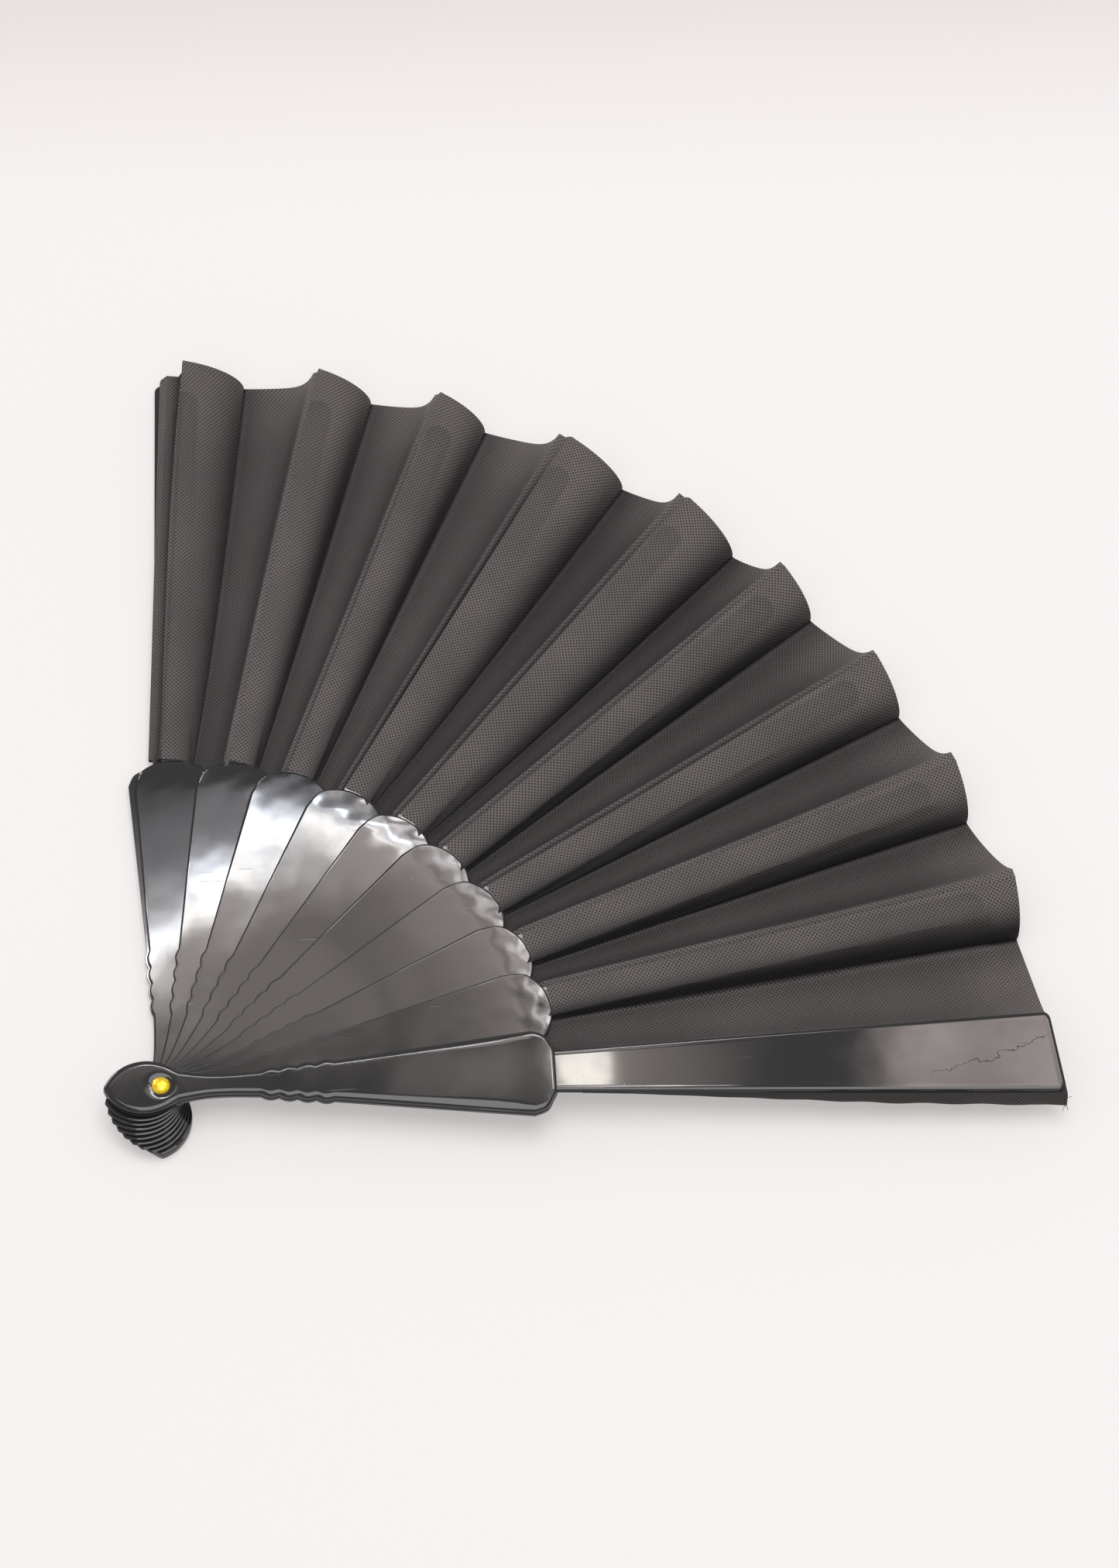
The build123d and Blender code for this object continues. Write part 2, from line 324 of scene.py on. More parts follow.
@dataclass(frozen=True)
class BlackPlastic:
    """Glossy black moulded plastic with hairline scratches, dust and handling smears."""

    name: str = "black_plastic"
    colour: tuple = rgba(0.0145, 0.0135, 0.0135)
    scratch_colour: tuple = rgba(0.05, 0.048, 0.047)
    dust_colour: tuple = rgba(0.42, 0.4, 0.39)
    roughness: float = 0.045
    smear: float = 0.05
    wave_mm: float = 0.032
    specks_per_mm: float = 0.2
    cracked: bool = False
    crack_from: tuple = (183.0, 187.0)
    crack_to: tuple = (213.5, 211.5)
    crack_slope: float = 0.3
    crack_across: float = -65.0
    crack_wander: float = 9.0
    crack_edge: tuple = (0.16, 0.04)

    def crack(self, n: Nodes, mm: Socket) -> Socket:
        """A hairline crack that wanders over the outer end of a guard's panel.

        Args:
            n: the node tree.
            mm: the place on the piece, in millimetres.

        Returns:
            The socket that is 1 on the crack and 0 beside it.
        """
        x, y, _ = n.add("SeparateXYZ", {0: mm}).outputs
        wander = n.times(n.noise(mm, 0.16, 3.0, 0.6), self.crack_wander)
        middle = n.math("MULTIPLY_ADD", x, self.crack_slope, self.crack_across)
        off = n.math("ABSOLUTE", n.minus(y, n.plus(middle, wander)))
        within = n.times(n.ramp(x, *self.crack_from), n.ramp(x, *self.crack_to))
        return n.times(n.ramp(off, *self.crack_edge), within)

    def material(self) -> Material:
        """Builds the material.

        Returns:
            The finished material.
        """
        n = Nodes(self.name)
        mm = n.millimetres()
        smears = n.noise(mm, 0.05, 4.0, 0.6)
        stretch = {"Vector": mm, "Rotation": (0, 0, 0.6), "Scale": (0.05, 1.4, 1)}
        hairs = n.noise(n.add("Mapping", stretch).outputs[0], 1.0, 2.0, 0.7)
        scratches = n.ramp(hairs, 0.71, 0.75)
        cells = n.add("TexVoronoi", {"Vector": mm, "Scale": self.specks_per_mm}, feature="F1")
        size = n.times(n.noise(mm, 0.15), 0.05)
        dust = n.ramp(n.minus(size, cells.outputs["Distance"]), 0.0, 0.012)
        dull = n.ramp(smears, 0.45, 0.75, 0.0, self.smear)
        rough = n.plus(dull, self.roughness)
        rough = n.plus(rough, n.times(scratches, 0.10))
        rough = n.plus(rough, n.times(dust, 0.3), clamp=True)
        if self.cracked:
            rough = n.plus(rough, n.times(self.crack(n, mm), 0.6), clamp=True)
        marks = n.mix(n.times(scratches, 0.35), self.colour, self.scratch_colour)
        colour = n.mix(n.times(dust, 0.7), marks, self.dust_colour)
        height = n.times(n.noise(mm, 0.06, 2.0, 0.35), self.wave_mm)
        bump = n.add("Bump", {"Height": height, "Strength": 1.0, "Distance": MM})
        shader = n.add("BsdfPrincipled", {
            "Base Color": colour, "Roughness": rough, "IOR": 1.52, "Normal": bump.outputs[0],
        })
        return n.output(shader.outputs[0])


@dataclass(frozen=True)
class MeshCloth:
    """Thin warp-knitted mesh: staggered holes between twisted yarns, darker over a rib.

    The vertex attribute weave holds millimetres along and across the cloth. The attribute lie
    holds the millimetres from the rib's middle line and from the pivot, and a painted shade
    share: 1 where the cloth is painted lit, 0 where painted shade darkens it most, in its folds.
    """

    name: str = "mesh_cloth"
    yarn: tuple = rgba(0.129, 0.110, 0.110)
    hole: tuple = rgba(0.010, 0.009, 0.009)
    over_rib: float = 0.74
    darkest_painted_shade: float = 0.04
    pitch_mm: float = 1.1
    rib_half_mm: float = 3.4
    rib_end_mm: float = 206.3
    rim_band_mm: tuple = (188.0, 205.0)
    rim_light: float = 1.14

    def material(self) -> Material:
        """Builds the material.

        Returns:
            The finished material.
        """
        n = Nodes(self.name)
        weave = n.add("Attribute", attribute_name="weave").outputs["Vector"]
        u, v, _ = n.add("SeparateXYZ", {0: weave}).outputs
        turns = 2 * math.pi / self.pitch_mm
        ripple = n.times(n.noise(weave, 0.35, 2.0), 2.0)
        across = n.math("COSINE", n.math("MULTIPLY_ADD", u, turns, ripple))
        along = n.math("COSINE", n.times(v, turns))
        lattice = n.times(across, along)
        holes = n.ramp(lattice, 0.0, 0.7)
        lie = n.add("Attribute", attribute_name="lie").outputs["Vector"]
        off, out, painted_lit = n.add("SeparateXYZ", {0: lie}).outputs
        past = n.math("MAXIMUM", n.minus(out, self.rib_end_mm - self.rib_half_mm), 0.0)
        reach = n.math("SQRT", n.plus(n.times(off, off), n.times(past, past)))
        under = n.ramp(reach, self.rib_half_mm - 0.35, self.rib_half_mm + 0.45, 1.0, 0.0)
        mottle = n.ramp(n.noise(weave, 0.04, 3.0), 0.3, 0.7, 0.9, 1.1)
        press = n.times(under, n.ramp(out, 160.0, 203.0, 0.12, 1.0))
        dim = n.times(mottle, n.minus(1.0, n.times(press, 1 - self.over_rib)))
        # Painted shade: the lie attribute's last share darkens the cloth in its folds and valleys.
        dim = n.times(dim, n.ramp(painted_lit, 0.0, 1.0, self.darkest_painted_shade, 1.0))
        dim = n.times(dim, n.ramp(out, *self.rim_band_mm, 1.0, self.rim_light))
        yarn = n.add("VectorMath", {0: self.yarn[:3], 3: dim}, operation="SCALE").outputs[0]
        colour = n.mix(holes, yarn, self.hole)
        bump = n.add("Bump", {"Height": lattice, "Strength": 0.5, "Distance": -0.12 * MM})
        shader = n.add("BsdfPrincipled", {
            "Base Color": colour, "Roughness": 0.6, "Normal": bump.outputs[0],
            "Sheen Weight": 0.06, "Sheen Roughness": 0.4, "Specular IOR Level": 0.25,
        })
        return n.output(shader.outputs[0])


@dataclass(frozen=True)
class GiltMetal:
    """Bright yellow gilding over a pressed rivet, with small dents."""

    name: str = "gilt_metal"
    colour: tuple = rgba(0.95, 0.58, 0.03)
    roughness: float = 0.28

    def material(self) -> Material:
        """Builds the material.

        Returns:
            The finished material.
        """
        n = Nodes(self.name)
        mm = n.millimetres()
        dents = n.noise(mm, 1.1, 2.0)
        tint = n.mix(n.ramp(dents, 0.35, 0.65), self.colour, rgba(1.0, 0.74, 0.06))
        bump = n.add("Bump", {"Height": dents, "Strength": 0.6, "Distance": 0.25 * MM})
        shader = n.add("BsdfPrincipled", {
            "Base Color": tint, "Metallic": 0.75, "Roughness": self.roughness,
            "Normal": bump.outputs[0],
        })
        return n.output(shader.outputs[0])


# ---- Outlines, in millimetres, with the stick's axis along X ----


def curve_through(points: Sequence[tuple[float, float]], steps: int) -> np.ndarray:
    """A smooth line through points (Catmull-Rom), with a number of steps in each span.

    Args:
        points: x and y of each point.
        steps: steps between one point and the next.

    Returns:
        The line's points, one row each.
    """
    p = np.array(points, float)
    p = np.vstack([2 * p[0] - p[1], p, 2 * p[-1] - p[-2]])
    line = []
    for a, b, c, d in zip(p, p[1:], p[2:], p[3:]):
        for t in np.arange(steps) / steps:
            bend = (2 * a - 5 * b + 4 * c - d) * t * t + (3 * b - a - 3 * c + d) * t ** 3
            line.append(0.5 * (2 * b + (c - a) * t + bend))
    return np.array(line + [p[-2]])


@dataclass
class Outline:
    """Left edge of a stick or of a guard's gorge, from the point of the head outwards."""

    head_length: float = 13.7
    head_half: float = 6.95
    head_shape: tuple = ((-1.0, 0.0), (-0.95, 0.22), (-0.82, 0.56), (-0.58, 0.88), (-0.27, 1.0),
                         (0.03, 0.87))
    notch: tuple = (4.3, 3.8)
    neck: tuple = (17.0, 2.7)
    wave_start: float = 23.5
    wave_pitch: float = 4.4
    wave_count: int = 4
    wave_depth: float = 0.42
    shoulder: tuple = (86.5, 9.9)
    end: tuple = ((91.7, 8.9), (94.55, 5.45), (95.6, 2.4), (95.8, 0.0))

    def head(self) -> np.ndarray:
        """The head, up to its notch.

        Returns:
            Its points.
        """
        points = [(a * self.head_length, b * self.head_half) for a, b in self.head_shape]
        return curve_through([*points, self.notch], 5)[:-1]

    def handle(self) -> np.ndarray:
        """The concave neck and the waves.

        Returns:
            Its points.
        """
        slope = (self.shoulder[1] - self.neck[1]) / (self.shoulder[0] - self.neck[0])
        x0 = self.wave_start
        rise = lambda x: self.neck[1] + slope * (x - self.neck[0])
        mid = ((self.notch[0] + self.neck[0]) / 2, self.neck[1] + 0.12)
        first = (x0, rise(x0) - self.wave_depth)
        line = [*curve_through([self.notch, mid, self.neck, first], 4)[:-1]]
        for t in np.linspace(0, self.wave_count, 6 * self.wave_count + 1):
            x = x0 + t * self.wave_pitch
            line.append((x, rise(x) - self.wave_depth * (1 - 1.5 * math.sin(math.pi * (t % 1)))))
        return np.array(line)

    def line(self) -> np.ndarray:
        """The whole left edge.

        Returns:
            Its points.
        """
        last = self.handle()[-1]
        straight = np.linspace(last, self.shoulder, 12)[1:-1]
        end = curve_through([self.shoulder, *self.end], 5)
        return np.vstack([self.head(), self.handle(), straight, end])


def offset(line: np.ndarray, inset: float) -> np.ndarray:
    """The left edge moved in by an inset along its own normals, never past the middle line.

    Args:
        line: the left edge.
        inset: how far it is moved in.

    Returns:
        The new edge, point for point.
    """
    ahead = np.vstack([line[1:], line[-1:]]) - np.vstack([line[:1], line[:-1]])
    ahead[0], ahead[-1] = (0.0, 1.0), (0.0, -1.0) if line[-1, 1] < 1e-6 else (1.0, 0.0)
    ahead /= np.linalg.norm(ahead, axis=1)[:, None]
    moved = line + inset * np.column_stack([ahead[:, 1], -ahead[:, 0]])
    moved[:, 1] = np.maximum(moved[:, 1], 0.0)
    return moved


def edge_distance(points: np.ndarray, line: np.ndarray) -> np.ndarray:
    """Distance from each point to the closed outline that a left edge and its mirror image make.

    Args:
        points: x and y of each point.
        line: the left edge.

    Returns:
        The distances.
    """
    ring = np.vstack([line, line[::-1] * (1, -1)])
    a, b = ring, np.roll(ring, -1, axis=0)
    span = b - a
    long = np.maximum((span ** 2).sum(1), 1e-12)
    t = np.clip(((points[:, None] - a) * span).sum(2) / long, 0, 1)
    return np.linalg.norm(points[:, None] - (a + t[..., None] * span), axis=2).min(1)


def across_steps(count: int) -> np.ndarray:
    """Places across a face from the left edge, 1, to the right edge, -1, closer at the edges."""
    even, crowded = np.linspace(1, -1, count), np.cos(np.linspace(0, math.pi, count))
    inner = 0.965 * (crowded * 0.35 + even * 0.65)
    return np.array([1, 0.988, *inner, -0.988, -1])


def moulding(
    line: np.ndarray,
    wall: Sequence[tuple[float, float]],
    face: Callable[[np.ndarray, np.ndarray, np.ndarray], np.ndarray],
    columns: int = 17,
) -> Solid:
    """Lofts one loop round each place of a left edge into a closed solid.

    Args:
        line: the left edge.
        wall: insets and heights of the side, from the underside up to the face.
        face: height of the face from x, y and the distance to the edge.
        columns: vertices across the face.

    Returns:
        The vertices in millimetres and the faces.
    """
    rings = [offset(line, inset) for inset, _ in wall]
    inner = rings[-1]
    steps = across_steps(columns)[1:-1]
    loops = []
    for i in range(len(line)):
        left = [(*rings[j][i], wall[j][1]) for j in range(len(wall))]
        right = [(x, -y, z) for x, y, z in reversed(left)]
        middle = np.array([(inner[i, 0], inner[i, 1] * s) for s in steps])
        depth = edge_distance(middle, inner)
        heights = face(middle[:, 0], middle[:, 1], depth)
        loops.append([*left, *np.column_stack([middle, heights]), *right])
    size = len(loops[0])
    faces = grid_faces(len(loops), size, closed=True)
    faces.append(list(range(size)))
    faces.append(list(range(size * len(loops) - 1, size * (len(loops) - 1) - 1, -1)))
    return np.vstack([np.array(loop, float) for loop in loops]), faces


def join(parts: Sequence[Solid]) -> Solid:
    """Puts several solids into one list of vertices and faces.

    Args:
        parts: the solids.

    Returns:
        All of their vertices and faces.
    """
    points, faces, start = [], [], 0
    for verts, polys in parts:
        points.append(verts)
        faces += [[start + i for i in poly] for poly in polys]
        start += len(verts)
    return np.vstack(points), faces


def place(points: np.ndarray, angle: float, base: float = 0.0) -> np.ndarray:
    """Turns millimetre points from the X axis to an angle and lifts them, in metres.

    Args:
        points: the points, in millimetres.
        angle: the angle, in radians.
        base: the height added, in metres.

    Returns:
        The points, in metres.
    """
    c, s = math.cos(angle), math.sin(angle)
    x, y, z = points.T
    return np.column_stack([x * c - y * s, x * s + y * c, z]) * MM + (0, 0, base)


def weld(piece: Piece) -> None:
    """Merges the vertices that meet at the pointed ends of a moulding.

    Args:
        piece: the moulding.
    """
    work = bmesh.new()
    work.from_mesh(piece.data)
    bmesh.ops.remove_doubles(work, verts=work.verts, dist=0.00001)
    bmesh.ops.recalc_face_normals(work, faces=work.faces)
    work.to_mesh(piece.data)
    work.free()


# ---- Inner sticks ----


@dataclass
class InnerStick:
    """One inner stick: head, handle, blade and the thin rib under the leaf. Sizes in millimetres."""

    index: int
    frame: Frame
    outline: Outline = field(default_factory=Outline)
    thickness: float = 0.72
    edge: float = 0.34
    dish: float = 0.035
    blade_half: float = 9.9
    roll_deg: tuple = (0.05, 0.0, 0.03, 0.03, 0.0, 0.08, -0.05, 0.06, 0.0)
    roll_start: float = 60.0
    ripple: float = 0.014
    tip_start: float = 86.0
    tip_end: float = 95.8
    tip_drop: float = 0.18
    rib_half: float = 3.5
    rib_start: float = 95.0
    rib_end: float = 206.3
    rib_thickness: float = 0.55

    @property
    def node(self) -> str:
        """The CAD node that it stands for."""
        return f"stick_{self.index}"

    def face(self, x: np.ndarray, y: np.ndarray, depth: np.ndarray) -> np.ndarray:
        """Height of the blade's top: dished and turned a little, and bent down unevenly at its tip.

        Args:
            x: distance along the stick.
            y: distance from its middle line.
            depth: distance to the edge, which the height doesn't follow here.

        Returns:
            The heights.
        """
        tip = np.clip((x - self.tip_start) / (self.tip_end - self.tip_start), 0, 1)
        lean = math.tan(math.radians(self.roll_deg[self.index - 1]))
        roll = lean * y * np.clip(x / self.roll_start, 0, 1)
        uneven = np.sin(0.8 * y + 2.1 * self.index) * np.cos(0.75 * x + 1.3 * self.index)
        tip_height = self.ripple * np.clip(tip * 4, 0, 1) * uneven - self.tip_drop * tip ** 2
        return self.thickness + self.dish * ((y / self.blade_half) ** 2 - 1) + roll + tip_height

    def blade(self) -> Solid:
        """The head, handle and blade."""
        top, edge = self.thickness - 0.2 * self.dish, self.edge
        wall = [(0.1, 0), (0, 0.1), (0, top - 0.26), (0.1, top - 0.1), (edge, top - 0.01)]
        return moulding(self.outline.line(), wall, self.face, 13)

    def rib(self) -> Solid:
        """The straight rib with its round end.

        Returns:
            Its vertices and faces.
        """
        turn = np.linspace(0, math.pi / 2, 7)
        end = [(self.rib_end - self.rib_half * (1 - math.sin(t)), self.rib_half * math.cos(t))
               for t in turn]
        line = np.array([(self.rib_start, self.rib_half), *end])
        top = self.rib_thickness - 0.04
        wall = [(0.1, 0.02), (0, 0.12), (0, top - 0.1), (0.1, top)]
        return moulding(line, wall, lambda x, y, d: np.full_like(x, top), 5)

    def build(self, material: Material) -> Piece:
        """Makes the piece, in the place of its CAD node.

        Args:
            material: its finish.

        Returns:
            The piece.
        """
        points, faces = join([self.blade(), self.rib()])
        low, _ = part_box(self.node)
        points = place(points, self.frame.lie(self.node), low.z)
        piece = mesh_object(f"{self.node}_shell", points, faces)
        weld(piece)
        dress(piece, material)
        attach(piece, self.node)
        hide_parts(self.node)
        return piece


# ---- Guards ----


@dataclass
class Guard:
    """A guard: gorge and handle in one piece with the panel that the leaf ends on. Millimetres."""

    node: str
    frame: Frame
    facing: Facing
    panel_low: float
    panel_high: float
    height: float
    length: float = 215.0
    end_half: float = 10.0
    corner: float = 2.0
    neck_x: float = 94.1
    neck_half: float = 4.7
    panel_lap: float = 4.0
    gorge_half: float = 10.9
    flange_share: float = 0.4
    groove: float = 0.25
    groove_depth: float = 0.45
    crown_inset: float = 0.12
    pillow_fall: float = 0.55
    dish_radius: float = 3.5
    dish_depth: float = 0.45
    pillow_at: tuple = (20.0, 55.0, 80.0, 90.0)
    pillow_width: tuple = (1.1, 1.5, 2.2, 0.7)
    lean: float = 0.085
    lean_length: float = 25.0

    def half(self, x: np.ndarray | float) -> np.ndarray | float:
        """Half width of the panel at a distance from the pivot."""
        slope = (self.end_half - self.neck_half) / (self.length - self.neck_x)
        return self.neck_half + slope * (x - self.neck_x)

    def leaning(self, x: np.ndarray | float, y: np.ndarray) -> np.ndarray:
        """How far the panel's end, which leans a little, is shifted along the guard."""
        end = np.clip((x - self.length + self.lean_length) / self.lean_length, 0, 1)
        return -self.lean * end ** 2 * y

    def gorge_line(self) -> np.ndarray:
        """Left edge of the head, handle and gorge.

        Returns:
            Its points.
        """
        end = ((91.7, 9.6), (93.3, 6.9), (self.neck_x, self.neck_half))
        line = Outline(shoulder=(88.5, self.gorge_half), end=end).line()
        cap = np.linspace((self.neck_x, self.neck_half), (self.neck_x, 0.0), 5)[1:]
        return np.vstack([line, cap])

    def panel_line(self) -> np.ndarray:
        """Left edge of the panel, with its rounded corner.

        Returns:
            Its points.
        """
        r = self.corner
        places = np.linspace(self.neck_x - self.panel_lap, self.length - r, 24)
        straight = [(x, self.half(x)) for x in places]
        turn = np.linspace(0, math.pi / 2, 6)[1:]
        corner = [(self.length - r + r * math.sin(t), self.end_half - r + r * math.cos(t))
                  for t in turn]
        cap = np.linspace((self.length, self.end_half - r), (self.length, 0.0), 5)[1:]
        return np.vstack([straight, corner, cap])

    def wall(self, low: float, high: float, fall: float) -> list[tuple[float, float]]:
        """Side of the moulding: flange, groove and the edge of the crowned face.

        Args:
            low: height of the underside.
            high: height of the face.
            fall: how far the face falls towards its edge.

        Returns:
            Insets and heights, from the underside up.
        """
        flange = low + self.flange_share * (high - low)
        top = flange + self.groove
        deep, crown = self.groove_depth, self.crown_inset
        return [
            (0.12, low), (0, low + 0.12), (0, flange - 0.1), (0.1, flange),
            (deep, flange + 0.03), (deep, top - 0.03), (crown, top), (crown, high - fall),
        ]

    def gorge_face(self, x: np.ndarray, y: np.ndarray, depth: np.ndarray) -> np.ndarray:
        """Height of the pillowed face, with the dish round the rivet.

        Args:
            x: distance along the guard.
            y: distance from its middle line.
            depth: distance to the edge.

        Returns:
            The heights.
        """
        pillow = np.interp(x, self.pillow_at, self.pillow_width)
        rise = np.sqrt(np.clip(1 - (1 - np.clip(depth / pillow, 0, 1)) ** 2, 0, 1))
        z = self.height - self.pillow_fall * (1 - rise)
        reach = np.hypot(x, y)
        dish = 0.5 + 0.5 * np.cos(math.pi * np.clip(reach / self.dish_radius, 0, 1))
        return z - self.dish_depth * dish

    def panel_face(self, x: np.ndarray, y: np.ndarray, depth: np.ndarray) -> np.ndarray:
        """Height of the panel's face: a fine raised border round a flat field.

        Args:
            x: distance along the guard.
            y: distance from its middle line.
            depth: distance to the edge, used near the panel's end only.

        Returns:
            The heights.
        """
        side = self.half(x) - self.crown_inset - np.abs(y)
        depth = np.where(x < self.length - self.lean_length, side, depth)
        border = np.exp(-((depth - 0.55) / 0.22) ** 2) * 0.05
        soft = 0.18 * np.clip(1 - depth / 0.35, 0, 1) ** 2
        return self.panel_high + border - soft

    def build(self, material: Material) -> Piece:
        """Makes the piece, in the place of its CAD node.

        Args:
            material: its finish.

        Returns:
            The piece.
        """
        wall = self.wall(0, self.height, self.pillow_fall)
        gorge = moulding(self.gorge_line(), wall, self.gorge_face, 25)
        wall = self.wall(self.panel_low, self.panel_high, 0.2)
        panel = moulding(self.panel_line(), wall, self.panel_face, 21)
        points, faces = join([gorge, panel])
        points[:, 0] += self.leaning(points[:, 0], points[:, 1])
        low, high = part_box(self.node)
        base = low.z
        if self.facing is Facing.DOWN:
            points[:, 2] = -points[:, 2]
            base = high.z
        points = place(points, self.frame.lie(self.node), base)
        piece = mesh_object(f"{self.node}_shell", points, faces)
        weld(piece)
        dress(piece, material)
        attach(piece, self.node)
        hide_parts(self.node)
        return piece


# ---- Leaf ----


@dataclass(frozen=True)
class Crest:
    """How the cloth lies at one stick. Millimetres, measured at the rim unless said otherwise.

    The ridge and the groove run along the left side of the rib. The peak is the highest place of
    the rim, left of the rib's middle line by the lead.
    """

    axis: float
    base: float
    lead: float
    trail: float
    ridge_rim: float
    groove_rim: float
    groove_inner: float
    belly: float
    # The free side's tone and the shade and light settings below are painted shade and painted light
    # on the cloth.
    tone: float
    ridge_at: float = 6.4
    groove_at: float = 4.7
    ridge_gap: float = 0.0
    groove_gap: float = 0.0
    shade: float = 1.0
    rim_shade: float = 1.0
    light: float = 1.0

    @property
    def is_guard(self) -> bool:
        """Whether this is the front guard, past which no cloth trails."""
        return self.trail == 0

    def ridge_line(self, late: float) -> float:
        """Distance of the ridge from the rib's middle line; late goes to 1 at the rim."""
        return self.ridge_at + (self.lead + self.ridge_gap - self.ridge_at) * late

    def groove_line(self, late: float) -> float:
        """Distance of the groove from the rib's middle line; late goes to 1 at the rim."""
        return self.groove_at + (self.lead + self.groove_gap - self.groove_at) * late


@dataclass
class Leaf:
    """The pleated leaf, one mesh for each pleat between two sticks.

    Lengths in millimetres. A pleat runs from the groove beside a rib over the rib, down a round
    shoulder to its valley, and along the free side up to the ridge before the next rib.
    """

    frame: Frame
    inner: float = 97.0
    edge: float = 95.95
    rim: float = 216.2
    valley_rim: float = 213.5
    top: float = 10.6
    floor: float = 2.0
    rib_half: float = 3.6
    rib_end: float = 206.5
    rib_top: float = 0.55
    over_rib: float = 0.24
    lift: float = 0.2
    tuck: float = 5.0
    valley_inner: float = 4.5
    peak_inner: float = 3.8
    valley_fade: float = 25.0
    valley_under: float = 0.35
    guard_under: float = 10.72
    step: float = 0.05
    rows: int = 72
    columns: tuple = (4, 22, 22, 6)
    blade: Outline = field(default_factory=Outline)

    def crests(self) -> list[Crest]:
        """Reads each stick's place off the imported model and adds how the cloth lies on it.

        Returns:
            One crest for each stick, from the rear guard's side on.
        """
        ridge = (5.0, 8.2, 8.7, 9.7, 9.9, 10.6, 10.6, 10.6, 10.6)
        groove = (5.0, 8.9, 9.6, 9.2, 9.4, 10.4, 10.3, 10.5, 10.5)
        dip = (0.3, 0.15, 0.5, 0.9, 0.7, 0.5, 0.7, 0.25, 0.35)
        belly = (0.4, 0.4, 0.42, 0.42, 0.45, 0.6, 0.6, 0.65, 0.9)
        line = (5.0, 4.4, 4.9, 5.4, 5.9, 6.2, 6.2, 6.2, 6.0)
        gaps = ((1.0, 0.1), (1.6, 0.5), (1.6, 0.5), (3.6, 1.7), (3.4, 1.6),
                (0.1, -1.2), (0.1, -1.2), (0.1, -2.4), (0.1, -2.0))
        # Painted shade: the tone of each free side, and how dark each shoulder is painted near the
        # pivot and at the rim.
        tone = (0.5, 0.46, 0.46, 0.49, 0.31, 0.3, 0.42, 0.42, 0.47)
        shade = (0.64, 0.9, 0.9, 0.8, 0.84, 1.0, 1.0, 1.0, 1.0)
        rim_shade = (0.3, 0.45, 0.5, 0.55, 0.7, 0.6, 0.6, 0.75, 1.0)
        found = []
        for k in range(STICK_COUNT):
            rim = self.frame.rim(f"leaf_pleat_{k + 2}")
            high = rim[rim[:, 1] > rim[:, 1].max() - 0.05 * MM, 0].max()
            low = rim[rim[:, 1] < rim[:, 1].min() + 0.05 * MM, 0].mean()
            axis = self.frame.lie(f"stick_{k + 1}")
            lead = (high - axis) * self.rim
            found.append(Crest(
                axis=axis, base=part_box(f"stick_{k + 1}")[0].z / MM, lead=lead, trail=axis - low,
                ridge_rim=ridge[k], groove_rim=groove[k], groove_inner=dip[k], belly=belly[k],
                tone=tone[k], ridge_at=line[k], ridge_gap=gaps[k][0], groove_gap=gaps[k][1],
                groove_at=line[k] - 1.35, shade=shade[k], rim_shade=rim_shade[k],
                light=0.8 if k == 0 else 1.0,
            ))
        return found

    def last(self) -> Crest:
        """The front guard, which the last pleat runs under."""
        low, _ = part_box("front_guard")
        return Crest(
            axis=self.frame.lie("front_guard"), base=low.z / MM, lead=10.7, trail=0.0,
            ridge_rim=10.72, groove_rim=10.5, groove_inner=0.0, belly=0.9, tone=0.66,
            ridge_at=10.6, groove_at=8.4, groove_gap=-2.3,
        )

    def crest_height(self, crest: Crest, radius: float) -> float:
        """Height of the cloth over a rib's middle line.

        Args:
            crest: how the cloth lies there.
            radius: distance from the pivot.

        Returns:
            The height.
        """
        share = (radius - self.inner) / (self.rim - self.inner)
        start = crest.base + self.rib_top + self.lift
        return start + (self.top - start) * np.clip(share, -0.05, 1)

    def blade_reach(self, angle: np.ndarray) -> np.ndarray:
        """Radius of a blade's end at an angle from its own axis.

        Args:
            angle: the angles, in radians.

        Returns:
            The radii.
        """
        line = self.blade.line()
        line = line[line[:, 0] > 80]
        turn = np.arctan2(line[:, 1], line[:, 0])[::-1]
        return np.interp(np.abs(angle), turn, np.hypot(*line.T)[::-1])

    def row(self, here: Crest, after: Crest, q: float) -> tuple[np.ndarray, ...]:
        """One row of a pleat, from its inner edge at q = 0 to its rim at q = 1.

        Args:
            here: the crest that the pleat starts on.
            after: the crest that it ends on.
            q: share of the way out.

        Returns:
            Angle, radius, height and painted shade share at each column: 1 painted lit, 0 painted
            shade.
        """
        radius = self.inner + (self.rim - self.inner) * q
        guard = after.is_guard
        slow, late = q ** 3, q ** 6
        start = here.groove_line(slow)
        peak = self.peak_inner + (here.lead - self.peak_inner) * slow
        left = here.axis + start / radius
        top = here.axis + min(peak, start - self.step) / radius
        narrow = self.valley_inner / self.inner - here.trail
        wide = here.trail + narrow * math.exp(-(radius - self.inner) / self.valley_fade)
        valley = here.axis - wide
        far = np.interp(q, [0, 0.1, 1], [0.5, 0.6, 1]) if guard else 1.0
        ridge = after.axis + after.ridge_line(slow) * far / radius
        end = after.axis + after.groove_line(slow) * far / radius
        crest = self.crest_height(here, radius)
        next_crest = self.guard_under if guard else self.crest_height(after, radius)
        low = here.base - self.valley_under
        low = low + (self.floor - low) * q ** 0.9
        dip = min(1, 0.25 + 3 * q)
        left_height = crest - here.groove_inner * dip
        left_height += (here.groove_rim - left_height) * late
        ridge_height = next_crest - self.step
        ridge_height += (after.ridge_rim - ridge_height) * late
        end_height = next_crest - after.groove_inner * dip
        end_height += (after.groove_rim - end_height) * late
        a, b, c, d = self.columns
        t0 = np.arange(a) / a
        t1 = np.sin(np.arange(b) / b * math.pi / 2) ** 0.9
        t2 = np.arange(c) / c
        t3 = np.arange(d + 1) / d
